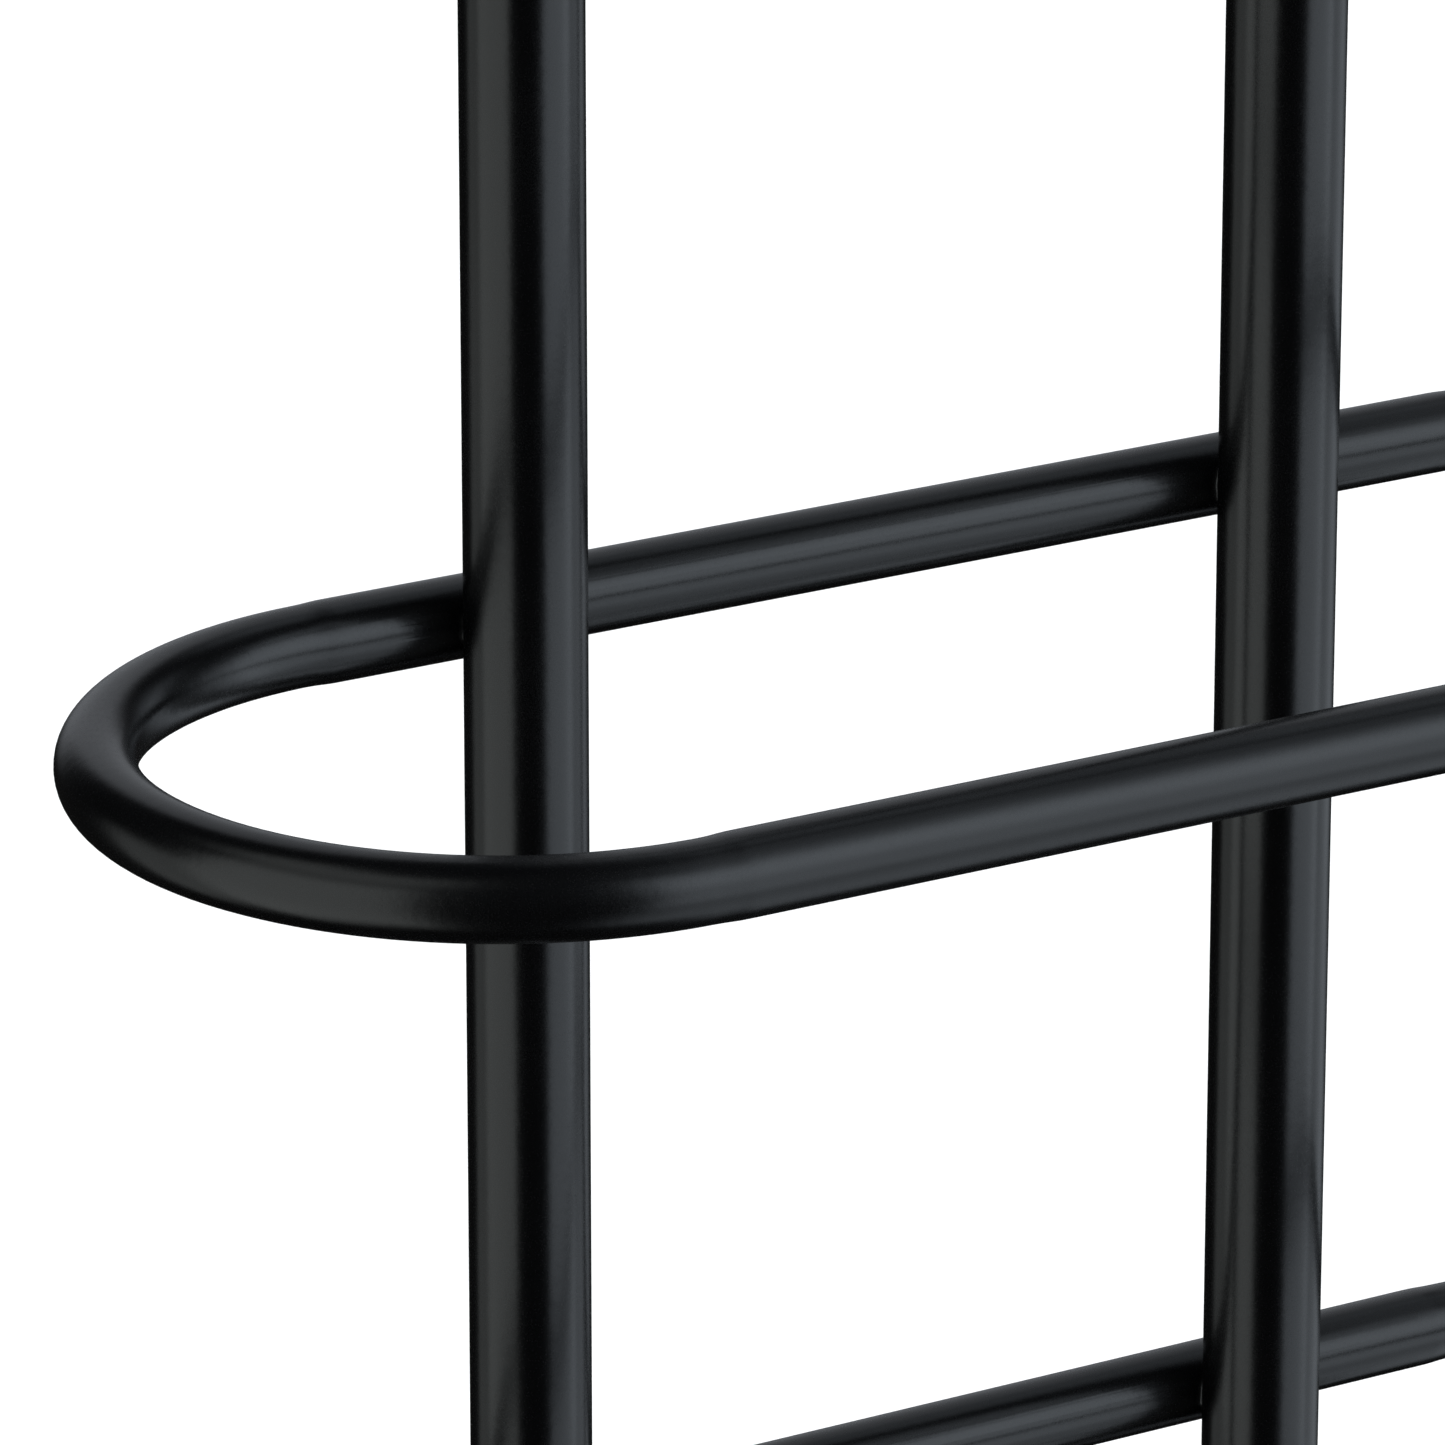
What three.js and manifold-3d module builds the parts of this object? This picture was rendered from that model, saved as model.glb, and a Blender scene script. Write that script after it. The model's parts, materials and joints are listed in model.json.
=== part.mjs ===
// Wall-hung electric towel warmer: two round posts, five racetrack towel hoops that cross behind them,
// four wall brackets, a heating element inside the right post and a control head under it.
// Millimetres. +Z is up, +X runs along the hoops and +Y points into the wall.
// The origin is on the wall plane, in the middle of the four wall sockets.

import * as THREE from "three";
import { mergeVertices } from "three/addons/utils/BufferGeometryUtils.js";
import Module from "manifold-3d";

const wasm = await Module();
wasm.setup();

// ---------------------------------------------------------------- driving dimensions

const GAP = 0.3; // clearance between pieces that touch on the real object
const OVERRUN = 1; // how far a drill runs past the face it cuts, and a joined boss into its neighbour

const POST_RADIUS = 14;
const POST_WALL = 1.5;
const POST_SPACING = 202; // between the two post axes
const POST_TO_WALL = 80; // post axis to wall plane

const HOOP_TUBE_RADIUS = 9.5;
const HOOP_TUBE_WALL = 1.2;
const HOOP_BEHIND = 21; // the hoops' back run behind the posts' axes; it is saddled into their backs
const FLOW_HOLE_RADIUS = 3.5; // hole in a post's back under each saddle, where the liquid passes
const HOOP_COUNT = 5;
const HOOP_PITCH = 230;
const OVERHANG_LEFT = 43.5; // straight run between the left post's axis and the start of the bend
const OVERHANG_RIGHT = 64; // the same on the right
const BEND_RADIUS = 88.5; // centre line of the tube

const POST_ABOVE_HOOPS = 60;
const POST_BELOW_HOOPS = 80;

const ELEMENT_RADIUS = 5;
const ELEMENT_LENGTH = 376;

const HOUSING_WIDTH = 48;
const HOUSING_DEPTH = 52;
const HOUSING_HEIGHT = 72;
const HOUSING_CORNER = 11;
const HOUSING_WALL = 2.2;

const KNOB_RADIUS = 15;
const KNOB_HEIGHT = 14;
const KNOB_DRAFT = 1; // how much narrower the knob is at its front
const KNOB_CHAMFER = 1.2;
const KNOB_SKIRT = 2; // width and height of the rim round its back
const BUTTON_RADIUS = 5.5;
const BUTTON_TRAVEL = 1.2;

// ---------------------------------------------------------------- derived sizes

const POST_BORE = POST_RADIUS - POST_WALL;
const PLUG_RADIUS = POST_BORE - GAP; // what is pushed into a post's end
const COPE_RADIUS = POST_RADIUS + GAP; // what is welded to a post is hollowed to this radius
const COPE_REACH = 20; // half the length of the round tool that does it
const HOOP_SPAN = HOOP_PITCH * (HOOP_COUNT - 1);
const HOOP_HEIGHTS = Array.from({ length: HOOP_COUNT }, (_, i) => i * HOOP_PITCH - HOOP_SPAN / 2);
const POST_TOP = HOOP_SPAN / 2 + POST_ABOVE_HOOPS;
const POST_BOTTOM = -HOOP_SPAN / 2 - POST_BELOW_HOOPS;
const BRACKET_HEIGHT = HOOP_SPAN / 2 - HOOP_PITCH / 2; // midway between the two end hoops

// Facets of the round shapes.
const POST_SIDES = 20;
const HOOP_TUBE_SIDES = 12;
const BORE_SIDES = 8;
const BEND_STEPS = 10;
const TURNED_SIDES = 16;
const SMALL_SIDES = 12;
const CORNER_STEPS = 5;

// ---------------------------------------------------------------- materials

function finish(color, roughness, metalness) {
  return new THREE.MeshStandardMaterial({ color, roughness, metalness });
}

const POWDER_COAT = finish(0x141617, 0.38, 0.1);
const BLACK_PLASTIC = finish(0x18191a, 0.45, 0);
const STEEL = finish(0xa9adb0, 0.3, 1);
const BRASS = finish(0xb08d4a, 0.35, 1);
const RUBBER = finish(0x101010, 0.85, 0);
const CERAMIC = finish(0xd8d4c8, 0.8, 0);
const CIRCUIT_GREEN = finish(0x1d5a38, 0.5, 0);
const GREY_PLASTIC = finish(0x6d7175, 0.5, 0);
const AMBER = finish(0xd98a2b, 0.25, 0);

// ---------------------------------------------------------------- shapes

// A regular polygon as a shape; its corners lie on the given radius.
function polygon(radius, sides, turn = 0) {
  const corners = Array.from({ length: sides }, (_, i) => {
    const angle = turn + (2 * Math.PI * i) / sides;
    return new THREE.Vector2(radius * Math.cos(angle), radius * Math.sin(angle));
  });
  return new THREE.Shape(corners);
}

// A hexagon measured across its flats.
function hexagon(acrossFlats) {
  return polygon(acrossFlats / Math.sqrt(3), 6);
}

function roundedRectangle(width, depth, corner) {
  const x = width / 2;
  const y = depth / 2;
  const shape = new THREE.Shape();
  shape.moveTo(x, -y + corner);
  shape.lineTo(x, y - corner);
  shape.absarc(x - corner, y - corner, corner, 0, Math.PI / 2);
  shape.absarc(-x + corner, y - corner, corner, Math.PI / 2, Math.PI);
  shape.absarc(-x + corner, -y + corner, corner, Math.PI, 1.5 * Math.PI);
  shape.absarc(x - corner, -y + corner, corner, 1.5 * Math.PI, 2 * Math.PI);
  return shape;
}

// A shape pushed up along Z from bottom to top.
function prism(shape, bottom, top) {
  const options = { depth: top - bottom, bevelEnabled: false, curveSegments: CORNER_STEPS };
  const geometry = new THREE.ExtrudeGeometry(shape, options);
  return geometry.translate(0, 0, bottom);
}

function cylinder(radius, bottom, top, sides = TURNED_SIDES) {
  return prism(polygon(radius, sides), bottom, top);
}

function box(width, depth, bottom, top) {
  return new THREE.BoxGeometry(width, depth, top - bottom).translate(0, 0, (top + bottom) / 2);
}

// A turned piece about Z. The profile lists [radius, height] and starts and ends on the axis,
// or comes back to its first point.
function turned(profile, sides = TURNED_SIDES) {
  const points = profile.map(([radius, height]) => new THREE.Vector2(radius, height));
  return new THREE.LatheGeometry(points, sides).rotateX(Math.PI / 2);
}

// A turned ring between two radii.
function ring(inner, outer, bottom, top, sides = TURNED_SIDES) {
  return turned([[inner, bottom], [outer, bottom], [outer, top], [inner, top], [inner, bottom]], sides);
}

// An endless solid bar of a regular section. A station has a centre point and a sideways direction,
// and the section's other direction is +Z.
function endlessBar(stations, radius, sides) {
  const positions = stations.flatMap(({ point, sideways }) =>
    Array.from({ length: sides }, (_, i) => {
      const angle = (2 * Math.PI * i) / sides;
      const out = sideways.clone().multiplyScalar(radius * Math.cos(angle));
      return point.clone().add(out).add(new THREE.Vector3(0, 0, radius * Math.sin(angle)));
    }),
  );
  const index = [];
  stations.forEach((_, number) => {
    const here = number * sides;
    const next = ((number + 1) % stations.length) * sides;
    for (let i = 0; i < sides; i += 1) {
      const j = (i + 1) % sides;
      const [a, b, c, d] = [here + i, here + j, next + j, next + i];
      index.push(a, b, c, a, c, d);
    }
  });
  const geometry = new THREE.BufferGeometry().setFromPoints(positions);
  geometry.setIndex(index);
  return geometry.toNonIndexed();
}

// ---------------------------------------------------------------- booleans

function solidOf(geometry) {
  const bare = geometry.clone().deleteAttribute("normal").deleteAttribute("uv");
  const merged = mergeVertices(bare, 1e-3);
  const vertProperties = merged.attributes.position.array;
  const triVerts = new Uint32Array(merged.index.array);
  return new wasm.Manifold(new wasm.Mesh({ numProp: 3, vertProperties, triVerts }));
}

function geometryOf(solid) {
  const { vertProperties, numProp, triVerts } = solid.getMesh();
  const corners = new THREE.InterleavedBuffer(vertProperties, numProp);
  const geometry = new THREE.BufferGeometry();
  geometry.setAttribute("position", new THREE.InterleavedBufferAttribute(corners, 3, 0));
  geometry.setIndex(new THREE.BufferAttribute(triVerts, 1));
  const flat = geometry.toNonIndexed();
  flat.computeVertexNormals();
  return flat;
}

function cut(geometry, ...tools) {
  return geometryOf(tools.reduce((solid, tool) => solid.subtract(solidOf(tool)), solidOf(geometry)));
}

function join(geometry, ...others) {
  return geometryOf(others.reduce((solid, other) => solid.add(solidOf(other)), solidOf(geometry)));
}

// ---------------------------------------------------------------- scene graph

const rack = new THREE.Group();

function place(parent, x, y, z, turnAboutX = 0) {
  const group = new THREE.Group();
  group.position.set(x, y, z);
  group.rotation.x = turnAboutX;
  parent.add(group);
  return group;
}

function piece(parent, name, geometry, material) {
  const mesh = new THREE.Mesh(geometry, material);
  mesh.name = name;
  parent.add(mesh);
}

// ---------------------------------------------------------------- posts

// A post is a tube with a flow hole through its back wall at each hoop's height.
function postTube() {
  const shape = polygon(POST_RADIUS, POST_SIDES);
  shape.holes.push(polygon(POST_BORE, POST_SIDES));
  const holes = HOOP_HEIGHTS.map((height) => {
    const drill = cylinder(FLOW_HOLE_RADIUS, 0, POST_RADIUS + OVERRUN, BORE_SIDES);
    return drill.rotateX(-Math.PI / 2).translate(0, 0, height);
  });
  return cut(prism(shape, POST_BOTTOM, POST_TOP), ...holes);
}

const CAP_FLANGE = 2;
const CAP_DEPTH = 8;
const CAP_WALL = 1.8;
const CAP_CHAMFER = 0.5;

// A cap that closes a post's top: a flange on the rim and a hollow spigot inside.
function topCap() {
  const seat = POST_TOP + GAP;
  return turned(
    [
      [0, seat],
      [PLUG_RADIUS - CAP_WALL, seat],
      [PLUG_RADIUS - CAP_WALL, seat - CAP_DEPTH],
      [PLUG_RADIUS, seat - CAP_DEPTH],
      [PLUG_RADIUS, seat],
      [POST_RADIUS, seat],
      [POST_RADIUS, seat + CAP_FLANGE - CAP_CHAMFER],
      [POST_RADIUS - CAP_CHAMFER, seat + CAP_FLANGE],
      [0, seat + CAP_FLANGE],
    ],
    POST_SIDES,
  );
}

const VALVE_RADIUS = 5;
const VALVE_SCREW_RADIUS = 2.4;
const VALVE_KEY = 5; // across the flats of the square that the vent key turns
const VALVE_KEY_HEIGHT = 4;
const VALVE_HEXAGON = 14; // across the flats
const VALVE_HEAD = 5;
const VALVE_DEPTH = 14;
const VALVE_PORT_RADIUS = 1.2;
const VALVE_PORT_LENGTH = 5;

// The air vent in the left cap: a hexagon body and the screw that opens it.
function addAirVent(post) {
  const seat = POST_TOP + GAP + CAP_FLANGE + GAP;
  const top = seat + VALVE_HEAD;
  const bottom = seat - VALVE_DEPTH;
  const head = prism(hexagon(VALVE_HEXAGON), seat, top);
  const outside = join(cylinder(VALVE_RADIUS, bottom, seat + OVERRUN), head);
  const seatOfScrew = bottom + VALVE_PORT_LENGTH;
  const screwHole = cylinder(VALVE_SCREW_RADIUS + GAP, seatOfScrew, top + OVERRUN, SMALL_SIDES);
  const port = cylinder(VALVE_PORT_RADIUS, bottom - OVERRUN, seatOfScrew + OVERRUN, BORE_SIDES);
  piece(post, "air_vent_body", cut(outside, screwHole, port), BRASS);

  const stem = cylinder(VALVE_SCREW_RADIUS, seatOfScrew + GAP, top, SMALL_SIDES);
  const corners = polygon(VALVE_KEY / Math.SQRT2, 4, Math.PI / 4);
  const square = prism(corners, top + GAP, top + VALVE_KEY_HEIGHT);
  const neck = cylinder(VALVE_SCREW_RADIUS - GAP, top - OVERRUN, top + OVERRUN, SMALL_SIDES);
  piece(post, "air_vent_screw", join(stem, neck, square), BRASS);
}

const BUSH_FLANGE = 2;
const BUSH_DEPTH = 14;
const THREAD_RADIUS = 10.4; // half-inch pipe thread
const SEAL_THICKNESS = 1.5;
const SEAL_INSET = 1; // the seal's edge sits this far inside the post's
// Across the flats, on the drain plug, the element plug and its locknut.
const PLUG_HEXAGON = 24;
const PLUG_THREAD = 13; // length of thread above the seat
const PLUG_HEAD = 6;
const BUSH_BOTTOM = POST_BOTTOM - GAP - BUSH_FLANGE;
const SEAL_BOTTOM = BUSH_BOTTOM - GAP - SEAL_THICKNESS;
const PLUG_SEAT = SEAL_BOTTOM - GAP;

// The threaded bush that is welded into a post's lower end.
function bottomBush() {
  const bore = THREAD_RADIUS + GAP;
  const shoulder = POST_BOTTOM - GAP;
  return turned(
    [
      [bore, BUSH_BOTTOM],
      [POST_RADIUS, BUSH_BOTTOM],
      [POST_RADIUS, shoulder],
      [PLUG_RADIUS, shoulder],
      [PLUG_RADIUS, shoulder + BUSH_DEPTH],
      [bore, shoulder + BUSH_DEPTH],
      [bore, BUSH_BOTTOM],
    ],
    POST_SIDES,
  );
}

function threadSeal() {
  const outer = POST_RADIUS - SEAL_INSET;
  return ring(THREAD_RADIUS + GAP, outer, SEAL_BOTTOM, SEAL_BOTTOM + SEAL_THICKNESS, POST_SIDES);
}

function drainPlug() {
  const thread = cylinder(THREAD_RADIUS, PLUG_SEAT - OVERRUN, PLUG_SEAT + PLUG_THREAD, POST_SIDES);
  return join(thread, prism(hexagon(PLUG_HEXAGON), PLUG_SEAT - PLUG_HEAD, PLUG_SEAT));
}

function addPost(side, x) {
  const post = place(rack, x, -POST_TO_WALL, 0);
  piece(post, `${side}_post`, postTube(), POWDER_COAT);
  piece(post, `${side}_bottom_bush`, bottomBush(), POWDER_COAT);
  return post;
}

const leftPost = addPost("left", -POST_SPACING / 2);
const ventHole = cylinder(VALVE_RADIUS + GAP, POST_TOP - CAP_DEPTH, POST_TOP + CAP_FLANGE + OVERRUN);
piece(leftPost, "left_top_cap", cut(topCap(), ventHole), POWDER_COAT);
addAirVent(leftPost);
piece(leftPost, "drain_plug_seal", threadSeal(), RUBBER);
piece(leftPost, "drain_plug", drainPlug(), POWDER_COAT);

const rightPost = addPost("right", POST_SPACING / 2);
piece(rightPost, "right_top_cap", topCap(), POWDER_COAT);

// ---------------------------------------------------------------- towel hoops

// Stations round the hoop, clockwise from above: the right bend, then the left one. The back run is
// on the local X axis and the front run is two bend radii in front of it.
function hoopStations() {
  const bend = (side, overhang) =>
    Array.from({ length: BEND_STEPS + 1 }, (_, i) => {
      const angle = (Math.PI * i) / BEND_STEPS;
      const x = side * (POST_SPACING / 2 + overhang + BEND_RADIUS * Math.sin(angle));
      return {
        point: new THREE.Vector3(x, BEND_RADIUS * (Math.cos(angle) - 1), 0),
        sideways: new THREE.Vector3(side * Math.sin(angle), Math.cos(angle), 0),
      };
    });
  return [...bend(1, OVERHANG_RIGHT), ...bend(-1, OVERHANG_LEFT).reverse()];
}

// An endless bent tube whose back run is coped to the backs of the two posts.
function towelHoop() {
  const stations = hoopStations();
  const outside = endlessBar(stations, HOOP_TUBE_RADIUS, HOOP_TUBE_SIDES);
  const bore = endlessBar(stations, HOOP_TUBE_RADIUS - HOOP_TUBE_WALL, BORE_SIDES);
  const postSurfaces = [-1, 1].map((side) => {
    const tool = cylinder(COPE_RADIUS, -COPE_REACH, COPE_REACH, POST_SIDES);
    return tool.translate((side * POST_SPACING) / 2, -HOOP_BEHIND, 0);
  });
  return cut(outside, bore, ...postSurfaces);
}

HOOP_HEIGHTS.forEach((height, i) => {
  const level = place(rack, 0, HOOP_BEHIND - POST_TO_WALL, height);
  piece(level, `towel_hoop_${i + 1}`, towelHoop(), POWDER_COAT);
});

// ---------------------------------------------------------------- wall brackets

const BOSS_RADIUS = 9;
const BOSS_BACK = -50; // where the boss on the post ends, measured from the wall
const STANDOFF_RADIUS = 8;
const STUD_RADIUS = 5;
const STUD_LENGTH = 10;
const SOCKET_BASE_RADIUS = 23;
const SOCKET_BASE = 5;
const SOCKET_RADIUS = 12;
const SOCKET_FRONT = -30;
const SOCKET_CHAMFER = 0.8;
const SOCKET_BASE_CHAMFER = 1.5;
const STANDOFF_CLEARANCE = 2; // between the standoff's end and the socket's floor
const WALL_SCREW_HOLE = 2.8; // radius
const GRUB_RADIUS = 2.5;
const GRUB_KEY = 2.5; // across the flats of its socket
const GRUB_KEY_DEPTH = 1.7;
const GRUB_FROM_WALL = 21;

// Local +Z points into the wall, and local +Y points down.
function addBracket(name, x, z) {
  const bracket = place(rack, x, 0, z, -Math.PI / 2);

  const postSurface = cylinder(COPE_RADIUS, -COPE_REACH, COPE_REACH, POST_SIDES).rotateX(Math.PI / 2);
  const boss = cylinder(BOSS_RADIUS, -POST_TO_WALL, BOSS_BACK, POST_SIDES);
  const studEnd = BOSS_BACK - STUD_LENGTH;
  const studHole = cylinder(STUD_RADIUS + GAP, studEnd - OVERRUN, BOSS_BACK + OVERRUN, SMALL_SIDES);
  const coped = cut(boss, postSurface.translate(0, 0, -POST_TO_WALL), studHole);
  piece(bracket, `${name}_post_boss`, coped, POWDER_COAT);

  const standoffFront = BOSS_BACK + GAP;
  const standoff = turned([
    [0, standoffFront - STUD_LENGTH],
    [STUD_RADIUS, standoffFront - STUD_LENGTH],
    [STUD_RADIUS, standoffFront],
    [STANDOFF_RADIUS, standoffFront],
    [STANDOFF_RADIUS, -SOCKET_BASE - STANDOFF_CLEARANCE],
    [0, -SOCKET_BASE - STANDOFF_CLEARANCE],
  ]);
  piece(bracket, `${name}_standoff`, standoff, POWDER_COAT);

  const socket = turned(
    [
      [WALL_SCREW_HOLE, 0],
      [WALL_SCREW_HOLE, -SOCKET_BASE],
      [STANDOFF_RADIUS + GAP, -SOCKET_BASE],
      [STANDOFF_RADIUS + GAP, SOCKET_FRONT],
      [SOCKET_RADIUS - SOCKET_CHAMFER, SOCKET_FRONT],
      [SOCKET_RADIUS, SOCKET_FRONT + SOCKET_CHAMFER],
      [SOCKET_RADIUS, -SOCKET_BASE],
      [SOCKET_BASE_RADIUS - SOCKET_BASE_CHAMFER, -SOCKET_BASE],
      [SOCKET_BASE_RADIUS, -SOCKET_BASE + SOCKET_BASE_CHAMFER],
      [SOCKET_BASE_RADIUS, 0],
      [WALL_SCREW_HOLE, 0],
    ],
    POST_SIDES,
  );
  const inside = STANDOFF_RADIUS - OVERRUN;
  const grubHole = cylinder(GRUB_RADIUS + GAP, inside, SOCKET_RADIUS + OVERRUN, SMALL_SIDES);
  const drilled = cut(socket, grubHole.rotateX(-Math.PI / 2).translate(0, 0, -GRUB_FROM_WALL));
  piece(bracket, `${name}_wall_socket`, drilled, POWDER_COAT);

  const grubTop = SOCKET_RADIUS - GAP;
  const grub = cylinder(GRUB_RADIUS, STANDOFF_RADIUS + GAP, grubTop, SMALL_SIDES);
  const keyway = prism(hexagon(GRUB_KEY), grubTop - GRUB_KEY_DEPTH, grubTop + OVERRUN);
  const screw = place(bracket, 0, 0, -GRUB_FROM_WALL, -Math.PI / 2);
  piece(screw, `${name}_grub_screw`, cut(grub, keyway), STEEL);
}

for (const [level, z] of [["upper", BRACKET_HEIGHT], ["lower", -BRACKET_HEIGHT]]) {
  addBracket(`left_${level}`, -POST_SPACING / 2, z);
  addBracket(`right_${level}`, POST_SPACING / 2, z);
}

// ---------------------------------------------------------------- heating element

const ELEMENT_HEAD = 7; // height of the element plug's hexagon, which the housing hangs under
const HOUSING_TOP = PLUG_SEAT - ELEMENT_HEAD;
const SPIGOT_RADIUS = 10;
const SPIGOT_LENGTH = 9;
const SPIGOT_BOTTOM = HOUSING_TOP - SPIGOT_LENGTH;
const SHEATH_WALL = 0.8;
const SHEATH_TIP = 2;
const SHEATH_ABOVE_SPIGOT = 2;
const CORE_INSET = 3;
const SENSOR_RADIUS = 1;
const SENSOR_OFFSET = 7.7;
const SENSOR_REACH = 45; // above the plug's seat
const SENSOR_LEAD = 2; // below the spigot
const LOCKNUT_HEIGHT = 4.5;

function addElement(post) {
  const threadTop = PLUG_SEAT + PLUG_THREAD;
  const body = join(
    cylinder(THREAD_RADIUS, PLUG_SEAT - OVERRUN, threadTop, POST_SIDES),
    prism(hexagon(PLUG_HEXAGON), HOUSING_TOP + GAP, PLUG_SEAT),
    cylinder(SPIGOT_RADIUS, SPIGOT_BOTTOM, HOUSING_TOP + OVERRUN, POST_SIDES),
  );
  const below = SPIGOT_BOTTOM - OVERRUN;
  const above = threadTop + OVERRUN;
  const elementHole = cylinder(ELEMENT_RADIUS + GAP, below, above);
  const sensorHole = cylinder(SENSOR_RADIUS + GAP, below, above, BORE_SIDES);
  const plug = cut(body, elementHole, sensorHole.translate(0, SENSOR_OFFSET, 0));
  piece(post, "element_plug", plug, BRASS);
  piece(post, "element_seal", threadSeal(), RUBBER);

  const bottom = SPIGOT_BOTTOM + SHEATH_ABOVE_SPIGOT;
  const top = bottom + ELEMENT_LENGTH;
  const boreTop = top - SHEATH_TIP;
  const bore = ELEMENT_RADIUS - SHEATH_WALL;
  const sheath = turned([
    [bore, bottom],
    [ELEMENT_RADIUS, bottom],
    [ELEMENT_RADIUS, boreTop],
    [ELEMENT_RADIUS - SHEATH_TIP, top],
    [0, top],
    [0, boreTop],
    [bore, boreTop],
    [bore, bottom],
  ]);
  piece(post, "element_sheath", sheath, STEEL);
  const core = cylinder(bore - GAP, bottom + CORE_INSET, boreTop - GAP, SMALL_SIDES);
  piece(post, "element_core", core, CERAMIC);

  const sensor = cylinder(SENSOR_RADIUS, SPIGOT_BOTTOM - SENSOR_LEAD, PLUG_SEAT + SENSOR_REACH, BORE_SIDES);
  piece(post, "temperature_sensor", sensor.translate(0, SENSOR_OFFSET, 0), STEEL);

  const nutTop = HOUSING_TOP - HOUSING_WALL - GAP;
  const nutBottom = nutTop - LOCKNUT_HEIGHT;
  const nutHole = cylinder(SPIGOT_RADIUS + GAP, nutBottom - OVERRUN, nutTop + OVERRUN, POST_SIDES);
  piece(post, "element_locknut", cut(prism(hexagon(PLUG_HEXAGON), nutBottom, nutTop), nutHole), BRASS);
}

addElement(rightPost);

// ---------------------------------------------------------------- control head

const HOUSING_BOTTOM = HOUSING_TOP - HOUSING_HEIGHT;
const HOUSING_ROOF = HOUSING_TOP - HOUSING_WALL;
const BASE_THICKNESS = 2.5;
const BASE_TOP = HOUSING_BOTTOM - GAP;
const BASE_BOTTOM = BASE_TOP - BASE_THICKNESS;
const FRONT_FACE = HOUSING_DEPTH / 2; // distance of the control face from the post's axis
const FRONT_INSIDE = FRONT_FACE - HOUSING_WALL;
const KNOB_Z = HOUSING_TOP - 25;
const BUTTON_Z = HOUSING_TOP - 56;
const LENS_OFFSET = 10; // beside the button
const LENS_RADIUS = 1.6;
const SHAFT_RADIUS = 3;
const SCREW_RADIUS = 1.5;
const SCREW_X = 19;
const SCREW_Y = 12;
const SCREW_BOSS_RADIUS = 3.6;
const SCREW_BOSS_HEIGHT = 18;
const SCREW_PILOT = 14;
const SCREW_REACH = 12;
const SCREW_HEAD_RADIUS = 2.9;
const SCREW_HEAD_HEIGHT = 1.8;
const SCREW_KEY = 2; // across the flats of its socket
const SCREW_KEY_DEPTH = 1;
const SHANK_OVERLAP = 0.5; // how far the shank runs into the screw's head
const GLAND_RADIUS = 6;

// The two places of the screws that hold the base, left and right, behind the circuit board.
const SCREW_PLACES = [-1, 1].map((side) => [side * SCREW_X, SCREW_Y]);

// A drill through the front wall of the housing, given its radius, place and number of sides.
function frontDrill(radius, x, z, sides) {
  const drill = cylinder(radius, FRONT_INSIDE - OVERRUN, FRONT_FACE + OVERRUN, sides);
  return drill.rotateX(Math.PI / 2).translate(x, 0, z);
}

function controlHousing() {
  const outer = roundedRectangle(HOUSING_WIDTH, HOUSING_DEPTH, HOUSING_CORNER);
  const inner = roundedRectangle(
    HOUSING_WIDTH - 2 * HOUSING_WALL,
    HOUSING_DEPTH - 2 * HOUSING_WALL,
    HOUSING_CORNER - HOUSING_WALL,
  );
  const shell = cut(
    prism(outer, HOUSING_BOTTOM, HOUSING_TOP),
    prism(inner, HOUSING_BOTTOM - OVERRUN, HOUSING_ROOF),
  );
  const bossTop = HOUSING_BOTTOM + SCREW_BOSS_HEIGHT;
  const bosses = SCREW_PLACES.map(([x, y]) =>
    cylinder(SCREW_BOSS_RADIUS, HOUSING_BOTTOM, bossTop, SMALL_SIDES).translate(x, y, 0),
  );
  const pilotTop = HOUSING_BOTTOM + SCREW_PILOT;
  const pilots = SCREW_PLACES.map(([x, y]) =>
    cylinder(SCREW_RADIUS + GAP, HOUSING_BOTTOM - OVERRUN, pilotTop, BORE_SIDES).translate(x, y, 0),
  );
  return cut(
    join(shell, ...bosses),
    ...pilots,
    cylinder(SPIGOT_RADIUS + GAP, HOUSING_ROOF - OVERRUN, HOUSING_TOP + OVERRUN, POST_SIDES),
    frontDrill(SHAFT_RADIUS + 2 * GAP, 0, KNOB_Z, SMALL_SIDES),
    frontDrill(BUTTON_RADIUS + GAP, 0, BUTTON_Z, TURNED_SIDES),
    frontDrill(LENS_RADIUS + GAP, LENS_OFFSET, BUTTON_Z, SMALL_SIDES),
  );
}

function controlBase() {
  const outline = roundedRectangle(HOUSING_WIDTH, HOUSING_DEPTH, HOUSING_CORNER);
  const screwHoles = SCREW_PLACES.map(([x, y]) =>
    cylinder(SCREW_RADIUS + GAP, BASE_BOTTOM - OVERRUN, BASE_TOP + OVERRUN, BORE_SIDES).translate(x, y, 0),
  );
  const glandHole = cylinder(GLAND_RADIUS + GAP, BASE_BOTTOM - OVERRUN, BASE_TOP + OVERRUN);
  return cut(prism(outline, BASE_BOTTOM, BASE_TOP), ...screwHoles, glandHole);
}

function baseScrew() {
  const seat = BASE_BOTTOM - GAP;
  const end = seat - SCREW_HEAD_HEIGHT;
  const keyway = prism(hexagon(SCREW_KEY), end - OVERRUN, end + SCREW_KEY_DEPTH);
  const head = cut(cylinder(SCREW_HEAD_RADIUS, end, seat, SMALL_SIDES), keyway);
  const shank = cylinder(SCREW_RADIUS, seat - SHANK_OVERLAP, HOUSING_BOTTOM + SCREW_REACH, BORE_SIDES);
  return join(head, shank);
}

const KNOB_FRONT_WALL = 3;
const RIB_WIDTH = 1.6;
const RIB_LENGTH = 8;
const RIB_PROUD = 0.6;
const RIB_INSET = 3;

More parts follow.
